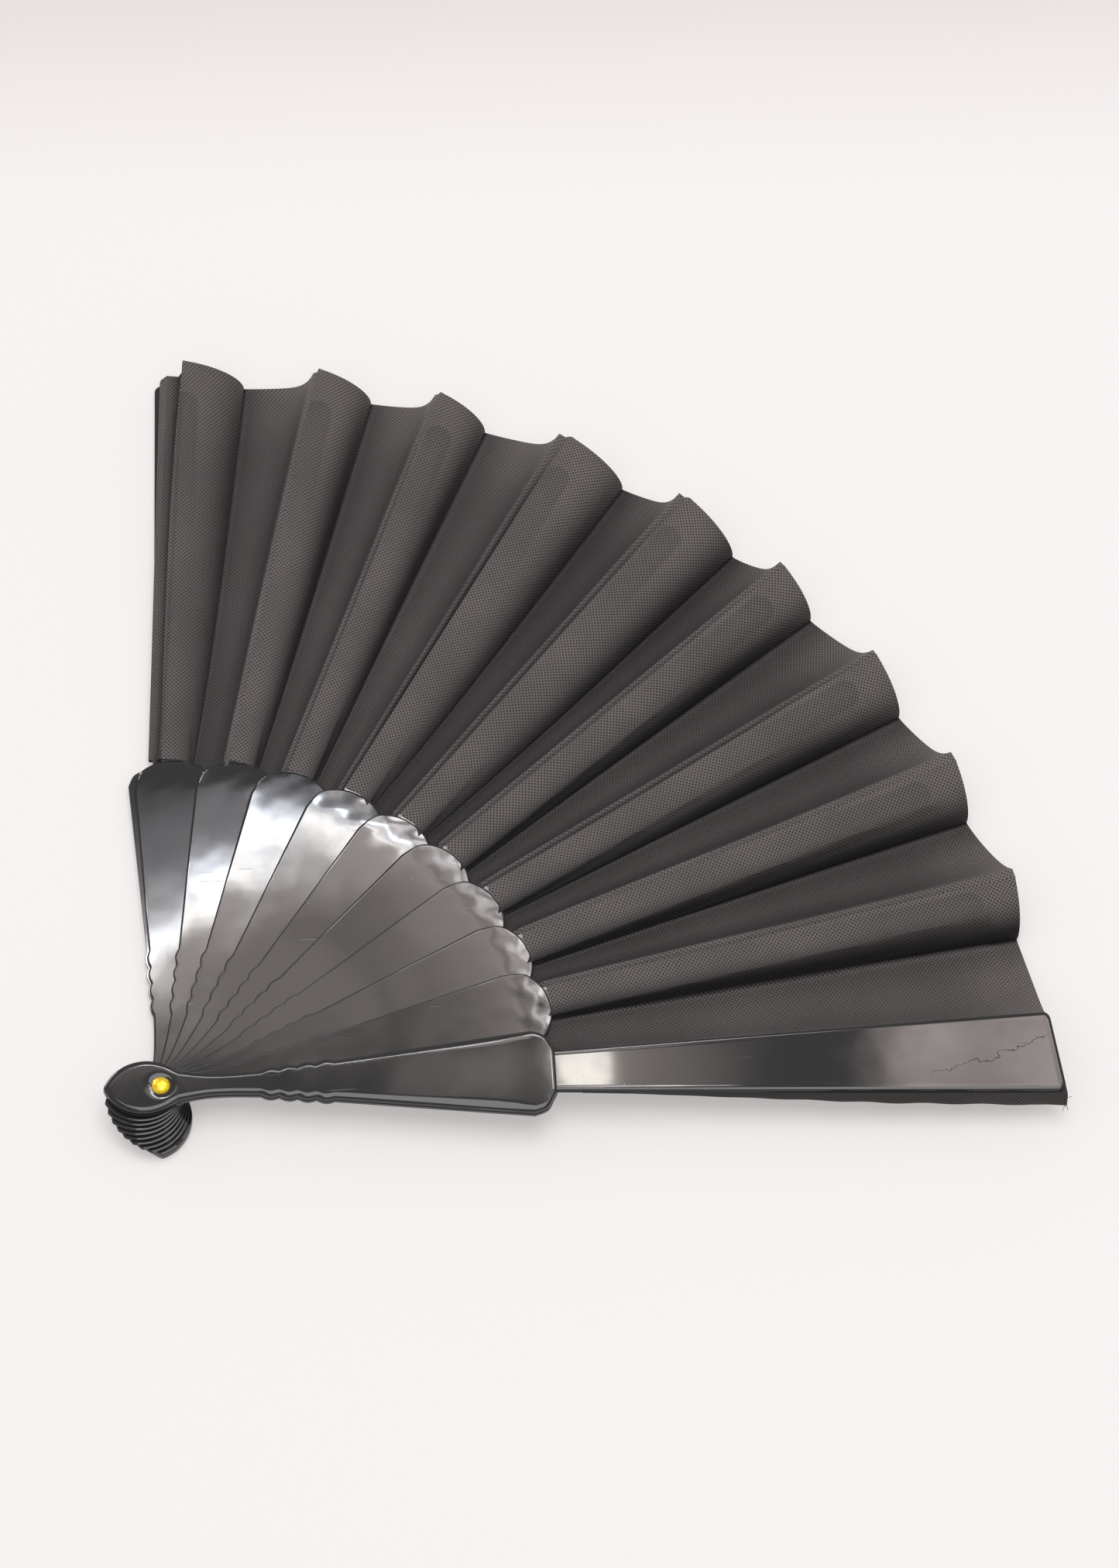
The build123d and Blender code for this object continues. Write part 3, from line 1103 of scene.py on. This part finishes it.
        fall = 0.25 * t1 + 0.75 * (1 - np.sqrt(np.clip(1 - t1 * t1, 0, 1)))
        rise = after.belly * t2 ** 1.5 + (1 - after.belly) * t2 ** 9
        angle = np.concatenate([
            left + (top - left) * t0, top + (valley - top) * t1,
            valley + (ridge - valley) * t2, ridge + (end - ridge) * t3,
        ])
        height = np.concatenate([
            left_height + (crest - left_height) * t0 ** 0.6, crest - (crest - low) * fall,
            low + (ridge_height - low) * rise, ridge_height + (end_height - ridge_height) * t3,
        ])
        drop = np.concatenate([0 * t0, fall, 1 - rise * (not guard), 0 * t3 + guard])
        reach = radius - (self.rim - self.valley_rim) * drop ** 0.7 * late
        return angle, reach, height, self.painted_shading(here, after, q, (t0, fall, t2, t3))

    @staticmethod
    def painted_shading(
        here: Crest, after: Crest, q: float, spans: tuple[np.ndarray, ...]
    ) -> np.ndarray:
        """The painted shade along a row: 1 where the cloth is painted lit, nearer 0 where painted
        shade falls.

        Args:
            here: the crest that the pleat starts on.
            after: the crest that it ends on.
            q: share of the way out.
            spans: each column's share of its span: groove, shoulder (as its fall), free side and lip.

        Returns:
            The painted shade share at each column.
        """
        groove, fall, side, lip = spans
        late = q ** 6
        guard = after.is_guard
        # The crest is painted lit, with painted shade down in the groove beside the rib.
        groove_shade = (1 - late) * min(1, 1.1 * here.groove_inner)
        crest = here.light - groove_shade * (1 - groove) ** 1.5
        # The shoulder falls into the shade of its valley.
        wall = np.clip((fall - 0.06) / 0.6, 0, 1)
        wall *= here.shade * (1 - late) + here.rim_shade * late
        shoulder = here.light * (1 - 0.97 * wall)
        # The free side's painted shade is lightest halfway up, and lighter towards the rim.
        body = after.tone * (0.75 + 0.25 * np.sin(math.pi * side)) * min(1.0, 0.78 + 0.6 * q)
        before = np.clip((side - 0.55) / 0.35, 0, 1)
        body = body * (1 - 0.4 * (1 - late) * (not guard) * before)
        body = body + late * (0.66 * side ** 0.6 - 0.16)
        # A painted dark line lies in the valley with a painted light line beside it, and a painted
        # highlight runs up to the ridge.
        line = 0.2 * np.exp(-((side - 0.06) / 0.03) ** 2) - 0.3 * np.exp(-(side / 0.03) ** 2)
        ridge_highlight = (1 - body) * np.clip((side - 0.93) / 0.06, 0, 1) ** 2
        # The lip beside the next rib's groove gets painted shade.
        dark = (1 - late) * min(1, 1.1 * after.groove_inner)
        return np.concatenate([crest, shoulder, body + line + ridge_highlight, 1 - dark * lip ** 0.8])

    def surface(self, here: Crest, after: Crest) -> tuple[np.ndarray, np.ndarray, np.ndarray]:
        """Vertices of a pleat, with the weave and lie attributes.

        Args:
            here: the crest that the pleat starts on.
            after: the crest that it ends on.

        Returns:
            The vertices, and the weave and lie attributes of each.
        """
        points, lie = [], []
        for q in np.linspace(0, 1, self.rows) ** 1.1:
            angle, reach, height, painted_lit = self.row(here, after, q)
            middle = np.clip((here.axis - angle) / (here.axis - after.axis), 0, 1)
            start = self.edge - self.tuck * np.sin(math.pi * middle) ** 2
            reach = reach - (self.inner - start) * (1 - q) ** 8
            height = height + self.unevenness(here, q, middle)
            height = self.over_ribs(here, after, angle, reach, height)
            height = self.under_blades(here, after, angle, reach, height)
            points.append(np.column_stack([reach * np.cos(angle), reach * np.sin(angle), height]))
            lie.append(np.column_stack([reach * np.sin(angle - here.axis), reach, painted_lit]))
        return self.woven(np.array(points), np.vstack(lie))

    def woven(self, points: np.ndarray, lie: np.ndarray) -> tuple[np.ndarray, np.ndarray, np.ndarray]:
        """Adds the weave coordinates to the rows of a pleat.

        Args:
            points: the rows of vertices.
            lie: the lie attribute, passed through.

        Returns:
            The vertices, and the weave and lie attributes of each.
        """
        steps = np.linalg.norm(np.diff(points, axis=1), axis=2)
        run = np.concatenate([np.zeros((len(points), 1)), np.cumsum(steps, axis=1)], axis=1)
        weave = np.dstack([run, np.hypot(points[..., 0], points[..., 1]), 0 * run])
        return points.reshape(-1, 3), weave.reshape(-1, 3), lie

    def unevenness(self, here: Crest, q: float, middle: np.ndarray) -> np.ndarray:
        """The cloth sags and ripples a little halfway out.

        Args:
            here: the crest that the pleat starts on.
            q: share of the way out.
            middle: share of the way to the next stick.

        Returns:
            The heights added.
        """
        ripple = np.sin(9 * here.axis + 6.0 * q + 4.0 * middle)
        return math.sin(math.pi * q) * np.sin(math.pi * middle) * (0.22 * ripple - 0.15)

    def over_ribs(
        self, here: Crest, after: Crest, angle: np.ndarray, reach: np.ndarray, height: np.ndarray
    ) -> np.ndarray:
        """Keeps the cloth above the two ribs beside the pleat.

        Args:
            here: the crest that the pleat starts on.
            after: the crest that it ends on.
            angle: angle of each column.
            reach: radius of each column.
            height: height of each column.

        Returns:
            The new heights.
        """
        for crest in (here, after):
            if crest.is_guard:
                continue
            beside = np.maximum(0, np.abs(reach * np.sin(angle - crest.axis)) - self.rib_half)
            past = np.maximum(0, reach - self.rib_end)
            need = crest.base + self.rib_top + self.over_rib * np.clip((reach - 95) / 6, 0.2, 1)
            height = np.maximum(height, need - 1.6 * beside - 1.2 * past)
        return height

    def under_blades(
        self, here: Crest, after: Crest, angle: np.ndarray, reach: np.ndarray, height: np.ndarray
    ) -> np.ndarray:
        """Keeps the inner edge of the cloth below the blades that it runs under.

        Args:
            here: the crest that the pleat starts on.
            after: the crest that it ends on.
            angle: angle of each column.
            reach: radius of each column.
            height: height of each column.

        Returns:
            The new heights.
        """
        past = reach - self.blade_reach(angle - here.axis) - 0.25
        limit = here.base - 0.3 + 0.6 * np.maximum(0, past)
        right = (angle < here.axis - 4.0 / self.inner) & (here.axis - angle < math.radians(6.4))
        height = np.where(right, np.minimum(height, limit), height)
        past = reach - self.blade_reach(angle - after.axis) - 0.1
        limit = after.base - 0.3 + 0.9 * np.maximum(0, past)
        left = (angle > after.axis + 4.0 / self.inner) & (not after.is_guard)
        return np.where(left, np.minimum(height, limit), height)

    def make(
        self, number: int, cloth: tuple[np.ndarray, ...],
        material: Material,
    ) -> Piece:
        """Makes a pleat's mesh and dresses it.

        Args:
            number: which pleat it is, from 1.
            cloth: its vertices, and the weave and lie attributes of each.
            material: the cloth's finish.

        Returns:
            The piece.
        """
        points, weave, lie = cloth
        node = f"leaf_pleat_{number}"
        width = len(points) // self.rows
        piece = mesh_object(f"{node}_cloth", points * MM, grid_faces(self.rows, width), 40)
        vector_attribute(piece.data, "weave", weave)
        vector_attribute(piece.data, "lie", lie)
        dress(piece, material)
        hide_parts(node)
        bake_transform(piece)
        return piece

    def first(self, crest: Crest, material: Material) -> Piece:
        """Makes the narrow first pleat, glued on the rear guard and folded up beside stick 1.

        Args:
            crest: how the cloth lies at stick 1.
            material: the cloth's finish.

        Returns:
            The piece.
        """
        rim = [(-5.6, 1.95), (7.2, 1.95), (7.5, 2.3), (7.1, 3.6), (5.4, 5.4), (4.0, 5.2), (1.7, 4.8),
               (1.3, 5.2), (1.05, 9.6), (crest.lead, self.top)]
        near = [(-4.4, 1.9), (6.2, 1.9), (6.6, 2.1), (6.7, 2.6), (6.2, 3.1), (5.4, 3.2), (4.6, 3.1),
                (4.4, 3.15), (3.9, 3.45), (3.8, 3.48)]
        counts = (10, 2, 4, 5, 3, 4, 2, 5, 2)
        # Painted shade of each section of the folded-up first pleat.
        tone = (0.5, 0.5, 0.6, 0.65, 0.7, 0.6, 0.3, 0.25, 0.6, 0.8)
        spans = [i + np.arange(n) / n for i, n in enumerate(counts)]
        share = np.concatenate([*spans, [len(counts)]])
        index = np.arange(len(rim))
        rim, near = np.array(rim), np.array(near)
        tuck = self.tuck * np.exp(-((share - 6) / 0.9) ** 2)
        long = self.rim - self.edge - 1.2 * (share < 6)
        points, lie = [], []
        for q in np.linspace(0, 1, self.rows) ** 1.1:
            section = near + (rim - near) * np.array([q ** 0.8, q])
            y, z = (np.interp(share, index, section[:, i]) for i in (0, 1))
            radius = self.edge - tuck * (1 - q) ** 8 + long * q
            angle = crest.axis + y / radius
            covered = (tuck > 0.4) & (radius < self.blade_reach(y / radius) + 0.2)
            z = np.where(covered, crest.base - 0.04, z)
            points.append(np.column_stack([radius * np.cos(angle), radius * np.sin(angle), z]))
            lie.append(np.column_stack([y, radius, np.interp(share, index, tone)]))
        cloth = self.woven(np.array(points), np.vstack(lie))
        return self.make(1, cloth, material)

    def build(self, material: Material) -> list[Piece]:
        """Makes every pleat between the rear guard and the front guard.

        Args:
            material: the cloth's finish.

        Returns:
            The pleats, from the rear guard's side on.
        """
        crests = [*self.crests(), self.last()]
        pleats = [self.first(crests[0], material)]
        for k, (here, after) in enumerate(zip(crests, crests[1:])):
            cloth = self.surface(here, after)
            pleats.append(self.make(k + 2, cloth, material))
        return pleats


@dataclass
class LooseEnd:
    """The leaf's last strip, glued under the front guard's panel and hanging out past its edge."""

    frame: Frame
    guard: Guard
    start: float = 100.0
    end: float = 214.8
    under: float = 10.66
    drops: tuple = (0.1, 5.2)
    glued: float = 0.6
    stand_start: float = 112.0
    stand_length: float = 60.0
    rows: int = 60
    columns: int = 14
    threads: int = 7
    thread_radius: float = 0.055
    thread_steps: int = 8

    def layer(self, drops: tuple, out: float, end: float) -> tuple[np.ndarray, ...]:
        """One layer of the hanging cloth, with its weave and lie attributes.

        Args:
            drops: how far it hangs down, at its start and at its end.
            out: how far it stands out past the guard's edge.
            end: where it ends.

        Returns:
            The vertices, and the weave and lie attributes of each.
        """
        points, weave, lie = [], [], []
        for q in np.linspace(0, 1, self.rows):
            x = self.start + (end - self.start) * q
            drop = drops[0] + (drops[1] - drops[0]) * q
            edge = 0.1 - self.guard.half(x)
            stand = out * float(np.clip((x - self.stand_start) / self.stand_length, 0, 1))
            t = np.linspace(0, 1, self.columns)
            flat = np.clip(t / self.glued, 0, 1)
            hang = np.clip((t - self.glued) / (1 - self.glued), 0, 1)
            wave = 0.10 * np.sin(0.45 * x + out * 3) * hang
            y = edge * (0.2 + 0.8 * flat) - stand * (np.sin(hang * math.pi / 2) + wave)
            z = self.under - drop * (1 - np.cos(hang * math.pi / 2)) ** 0.8
            shift = self.guard.leaning(x, y)
            points.append(np.column_stack([x + 0 * t + shift, y, z]))
            weave.append(np.column_stack([t * (drop + 8), x + 0 * t, 0 * t]))
            # The last share is painted shade, darker where the strip hangs down.
            lie.append(np.column_stack([99 + 0 * t, x + 0 * t, 0.42 - 0.12 * hang]))
        return tuple(np.vstack(rows) for rows in (points, weave, lie))

    def build(self, material: Material) -> Piece:
        """Makes the two layers, riding the front guard.

        Args:
            material: the cloth's finish.

        Returns:
            The piece.
        """
        upper = self.layer(self.drops, 0.9, self.end)
        lower = self.layer((0.2, self.drops[1] * 0.8), 1.5, self.end + 0.3)
        points, weave, lie = (np.vstack(pair) for pair in zip(upper, lower))
        count = self.rows * self.columns
        faces = [f for start in (0, count) for f in grid_faces(self.rows, self.columns, start)]
        turn = self.frame.lie("front_guard")
        piece = mesh_object("leaf_end_cloth", place(points, turn), faces, None)
        vector_attribute(piece.data, "weave", weave)
        vector_attribute(piece.data, "lie", lie)
        dress(piece, material)
        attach(piece, "front_guard")
        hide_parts("leaf_end")
        return piece

    def fray(self, material: Material) -> Piece:
        """Makes the loose threads at the end of the strip.

        Args:
            material: the cloth's finish.

        Returns:
            The piece.
        """
        rng = np.random.default_rng(7)
        parts = []
        for i in range(self.threads):
            y = -10.4 - 1.6 * rng.random()
            z = self.under - 0.3 - 4.4 * rng.random()
            first = np.array([self.end + 0.9, y, z])
            heading = np.array([1.0, rng.normal(0, 0.7), rng.normal(0, 0.4)])
            curl = rng.normal(0, 0.9, 3)
            line = [first]
            for _ in range(self.thread_steps):
                heading = heading / np.linalg.norm(heading) + curl * 0.3
                ahead = heading / np.linalg.norm(heading)
                line.append(line[-1] + ahead * (0.22 + 0.1 * rng.random()))
            parts.append(self.tube(np.array(line)))
        points, faces = join(parts)
        points = place(points, self.frame.lie("front_guard"))
        piece = mesh_object("leaf_end_threads", points, faces, None)
        count = len(piece.data.vertices)
        vector_attribute(piece.data, "weave", np.full((count, 3), 0.5))
        # The last share gives the threads an even painted shade.
        vector_attribute(piece.data, "lie", np.tile([99.0, 0.0, 0.6], (count, 1)))
        dress(piece, material)
        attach(piece, "front_guard")
        return piece

    def tube(self, line: np.ndarray) -> Solid:
        """A thin five-sided thread along a line.

        Args:
            line: the line's points.

        Returns:
            Its vertices and faces.
        """
        turns = np.linspace(0, 2 * math.pi, 5, endpoint=False)
        ahead = np.gradient(line, axis=0)
        side = np.cross(ahead, (0, 0, 1.0))
        side /= np.linalg.norm(side, axis=1)[:, None]
        up = np.cross(side, ahead)
        up /= np.linalg.norm(up, axis=1)[:, None]
        rings = [p + self.thread_radius * (math.cos(t) * s + math.sin(t) * u)
                 for p, s, u in zip(line, side, up) for t in turns]
        return np.array(rings), grid_faces(len(line), 5, closed=True)


# ---- Studio ----


@dataclass(frozen=True)
class View:
    """The camera. Millimetres and degrees."""

    place: tuple = (53.8, -381.8, 791.6)
    yaw: float = -5.64
    elevation: float = 59.28
    roll: float = 2.77
    lens: float = 83.38
    sensor: float = 36.0
    nearest: float = 0.01

    def build(self) -> None:
        """Makes the camera and looks through it."""
        yaw, elevation, roll = (math.radians(a) for a in (self.yaw, self.elevation, self.roll))
        level = math.cos(elevation)
        ahead = Vector((-math.sin(yaw) * level, math.cos(yaw) * level, -math.sin(elevation)))
        right = ahead.cross(Vector((0, 0, 1))).normalized()
        up = right.cross(ahead)
        across = right * math.cos(roll) + up * math.sin(roll)
        above = up * math.cos(roll) - right * math.sin(roll)
        data = bpy.data.cameras.new("camera")
        data.lens, data.sensor_width, data.clip_start = self.lens, self.sensor, self.nearest
        camera = bpy.data.objects.new("camera", data)
        turn = Matrix((across, above, -ahead)).transposed().to_4x4()
        camera.matrix_world = Matrix.Translation(Vector(self.place) * MM) @ turn
        bpy.context.scene.collection.objects.link(camera)
        bpy.context.scene.camera = camera


@dataclass(frozen=True)
class Card:
    """A glowing card above the fan that the plastic mirrors, fading out towards its edges.

    The near and far edges are given as points of the fan, in millimetres, where a level mirror
    shows that edge to the camera. The softness of each edge is a share of the card's depth, and
    that of the ends a share of its length.
    """

    name: str
    near: tuple
    far: tuple
    strength: float
    near_colour: tuple = rgba(1, 1, 1)
    far_colour: tuple = rgba(1, 1, 1)
    near_soft: float = 0.1
    far_soft: float = 0.08
    end_soft: float = 0.1
    mottle: float = 0.0
    mottle_scale: float = 12.0
    columns: int = 12
    rows: int = 5

    def build(self, studio: Studio) -> Piece:
        """Makes the card, unseen by the camera itself.

        Args:
            studio: the studio, which says where a point's reflection lies.

        Returns:
            The card.
        """
        n = Nodes(self.name)
        place = n.add("Attribute", attribute_name="card_share").outputs["Vector"]
        along, across, _ = n.add("SeparateXYZ", {0: place}).outputs
        sides = n.times(n.ramp(across, 0.0, self.near_soft), n.ramp(across, 1.0, 1 - self.far_soft))
        ends = n.times(n.ramp(along, 0.0, self.end_soft), n.ramp(along, 1.0, 1 - self.end_soft))
        glow = n.times(n.times(sides, ends), self.strength)
        if self.mottle:
            clouds = n.noise(n.add("TexCoord").outputs["Object"], self.mottle_scale, 3.0)
            glow = n.times(glow, n.ramp(clouds, 0.36, 0.62, 1 - self.mottle, 1.0))
        colour = n.mix(across, self.near_colour, self.far_colour)
        light = n.add("Emission", {"Color": colour, "Strength": glow})
        clear = n.add("BsdfTransparent")
        both = n.add("AddShader", {0: light.outputs[0], 1: clear.outputs[0]})
        share = np.linspace(0, 1, self.columns + 1)
        edges = []
        for edge in (self.near, self.far):
            places = np.array([studio.mirrored(*point) for point in edge])
            marks = np.linspace(0, 1, len(edge))
            edges.append(np.column_stack([np.interp(share, marks, column) for column in places.T]))
        levels = np.linspace(0, 1, self.rows)
        grid = np.array([edges[0] + (edges[1] - edges[0]) * v for v in levels])
        faces = grid_faces(self.rows, self.columns + 1)
        card = mesh_object(self.name, grid.reshape(-1, 3), faces, None)
        values = np.array([(u, v, 0.0) for v in levels for u in share])
        vector_attribute(card.data, "card_share", values)
        card.data.materials.append(n.output(both.outputs[0]))
        card.visible_camera = card.visible_shadow = card.visible_diffuse = False
        return card


@dataclass(frozen=True)
class Studio:
    """Pale floor, a soft world, a soft box overhead and the cards that the plastic mirrors."""

    view: View
    card_height: float = 1.3
    mirror_height: float = 8.0
    world: float = 0.60
    world_colour: tuple = rgba(1.0, 0.99, 0.985)
    floor_colour: tuple = rgba(0.93, 0.90, 0.895)
    floor_far: tuple = rgba(0.77, 0.70, 0.70)
    floor_fade: tuple = (0.27, 0.40)
    floor_glow: float = 0.4
    floor_half: float = 6.0
    floor_drop: float = 0.00002

    def mirrored(self, x: float, y: float) -> tuple[float, float, float]:
        """Where the camera sees the card plane in a level mirror at a point of the fan.

        Args:
            x: the point's x, in millimetres.
            y: the point's y, in millimetres.

        Returns:
            The place on the card plane, in metres.
        """
        px, py, pz = (a * MM for a in self.view.place)
        x, y, z = x * MM, y * MM, self.mirror_height * MM
        rise = (self.card_height - z) / (pz - z)
        return (x + (x - px) * rise, y + (y - py) * rise, self.card_height)

    def cards(self) -> list[Card]:
        """The strip, the glow on either side of it and the smaller cards.

        Returns:
            The cards.
        """
        near = ((-14, 15), (1, 33), (9, 44), (22, 54.5), (39, 61), (58, 66), (75, 70))
        far = ((-14, 32), (1, 48), (9, 60), (22, 73), (39, 86), (58, 91), (75, 90))
        beyond = ((-14, 92), (1, 100), (9, 108), (22, 114), (39, 118), (58, 118), (75, 116))
        before = tuple((x, y - 20) for x, y in near)
        front = ((-30, -2), (0, 0), (25, 2), (50, 5), (75, 8), (100, 10), (118, 12))
        outer = ((-30, 40), (0, 60), (22, 75), (45, 85), (72, 85), (100, 70), (118, 50))
        turns = [math.radians(a) for a in range(64, 5, -8)]
        arcs = {r: tuple((r * math.cos(t), r * math.sin(t)) for t in turns)
                for r in (56, 98, 100, 185)}
        warm, cool, lilac = rgba(1.0, 0.87, 0.83), rgba(0.86, 0.9, 1.0), rgba(0.92, 0.88, 0.95)
        return [
            Card("strip_light", near, far, 42.0, rgba(1.0, 0.94, 0.84), rgba(0.8, 0.88, 1.0),
                 0.3, 0.05, 0.06, mottle=0.2, mottle_scale=16.0),
            Card("glow_before", front, outer, 2.3, warm, warm, 0.20, 0.1, 0.06),
            Card("halo_before", before, near, 4.0, warm, warm, 0.98, 0.02, 0.08),
            Card("glow_beyond", near, beyond, 3.6, lilac, rgba(0.9, 0.88, 0.95), 0.1, 0.85, 0.05),
            Card("cool_beyond", ((16, 52), (34, 58), (60, 64)), ((20, 100), (45, 140), (76, 150)),
                 3.0, cool, cool, 0.1, 0.4, 0.2),
            Card("tip_glow", arcs[56], arcs[100], 3.2, warm, warm, 0.95, 0.03, 0.1, mottle=0.25),
            Card("arc_light", arcs[98], arcs[185], 22.0, rgba(1.0, 0.92, 0.9), rgba(0.98, 0.96, 1.0),
                 0.4, 0.3, 0.08, mottle=0.85, mottle_scale=26.0),
            Card("gorge_glow", ((50, -9), (92, -9)), ((50, 9), (92, 11)), 2.1, warm, warm,
                 0.3, 0.3, 0.25, mottle=0.4),
            Card("neck_card", ((93, -9), (108, -9)), ((93, 10), (108, 10)), 26.0,
                 rgba(1, 0.95, 0.86), rgba(1, 0.96, 0.9), 0.3, 0.3, 0.12,
                 mottle=0.3, mottle_scale=30.0),
            Card("neck_tail", ((103, -10), (103, 10)), ((150, -10), (150, 10)), 3.0, warm, warm,
                 0.03, 0.95, 0.1),
            Card("end_card", ((168, -18), (250, -18)), ((168, 18), (250, 18)), 6.8, warm, warm,
                 0.05, 0.2, 0.14, mottle=0.4),
        ]

    def floor(self) -> Piece:
        """The pale floor, a little greyer far behind the fan.

        Returns:
            The floor.
        """
        n = Nodes("pale_floor")
        place = n.add("TexCoord").outputs["Object"]
        y = n.add("SeparateXYZ", {0: place}).outputs[1]
        colour = n.mix(n.ramp(y, *self.floor_fade), self.floor_colour, self.floor_far)
        matt = {"Base Color": colour, "Roughness": 0.9, "Specular IOR Level": 0.1}
        shader = n.add("BsdfPrincipled", matt)
        glow = n.add("Emission", {"Color": colour, "Strength": 1.0})
        path = n.add("LightPath").outputs
        seen = n.math("MAXIMUM", path["Is Camera Ray"], path["Is Glossy Ray"])
        seen = n.math("MAXIMUM", seen, path["Is Transmission Ray"])
        share = n.times(seen, self.floor_glow)
        both = n.add("MixShader", {0: share, 1: shader.outputs[0], 2: glow.outputs[0]})
        sides = (-self.floor_half, self.floor_half)
        ground = np.array([(x, y, -self.floor_drop) for y in sides for x in sides])
        plane = mesh_object("floor", ground, grid_faces(2, 2), None)
        plane.data.materials.append(n.output(both.outputs[0]))
        return plane

    def lamp(
        self, name: str, place: tuple, aim: tuple, size: tuple, power: float, colour: tuple
    ) -> Piece:
        """One rectangular lamp, aimed at a point.

        Args:
            name: its name.
            place: where it stands, in metres.
            aim: the point that it shines on, in metres.
            size: its two sides, in metres.
            power: in watts.
            colour: of its light.

        Returns:
            The lamp.
        """
        data = bpy.data.lights.new(name, "AREA")
        data.shape, (data.size, data.size_y) = "RECTANGLE", size
        data.energy, data.color = power, colour
        lamp = bpy.data.objects.new(name, data)
        lamp.location = place
        lamp.rotation_euler = (Vector(aim) - Vector(place)).to_track_quat("-Z", "Y").to_euler()
        lamp.visible_camera = False
        bpy.context.scene.collection.objects.link(lamp)
        return lamp

    def build(self) -> None:
        """Makes the floor, the world and the lights."""
        self.floor()
        world = bpy.data.worlds.new("studio_world")
        world.use_nodes = True
        tree = world.node_tree
        background = tree.nodes["Background"]
        background.inputs["Color"].default_value = self.world_colour
        background.inputs["Strength"].default_value = self.world
        bpy.context.scene.world = world
        for card in self.cards():
            card.build(self)
        self.lamp("key", place=(0.2, 0.1, 1.7), aim=(0.09, 0.09, 0), size=(1.2, 1.0),
                  power=13.6, colour=(1.0, 0.995, 0.99))
        edge = self.lamp("edge_light", place=(-0.9, 1.25, 0.55), aim=(0.04, 0.05, 0),
                         size=(0.5, 0.3), power=7.0, colour=(1.0, 0.97, 0.95))
        edge.visible_diffuse = False
        bpy.context.scene.view_settings.view_transform = "Standard"


def report(pieces: Sequence[Piece]) -> None:
    """Logs the size of each piece."""
    for piece in pieces:
        LOG.info("%s: %d vertices", piece.name, len(piece.data.vertices))


def main() -> None:
    """Builds the fan in its studio and reports each piece."""
    logging.basicConfig(level=logging.INFO, format="%(name)s: %(message)s")
    frame = Frame()
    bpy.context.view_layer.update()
    view = View()
    view.build()
    Studio(view).build()
    plastic = BlackPlastic().material()
    cloth = MeshCloth().material()
    gilt = GiltMetal().material()
    report([InnerStick(k, frame).build(plastic) for k in range(1, STICK_COUNT + 1)])
    front = Guard("front_guard", frame, Facing.UP, panel_low=1.12, panel_high=2.27, height=2.72,
                  neck_half=5.4, end_half=10.7)
    rear = Guard("rear_guard", frame, Facing.DOWN, panel_low=0.8, panel_high=2.4, height=2.4,
                 end_half=7.4)
    cracked = BlackPlastic(name="cracked_plastic", cracked=True).material()
    report([front.build(cracked), rear.build(plastic)])
    for node, slot in (("pivot_rivet", Slot.GILT), ("rivet_cap", Slot.RIVET)):
        dress(frame.loaded["nodes"][node], gilt)
    report(Leaf(frame).build(cloth))
    loose = LooseEnd(frame, front)
    report([loose.build(cloth), loose.fray(cloth)])


if __name__ == "__main__":
    main()
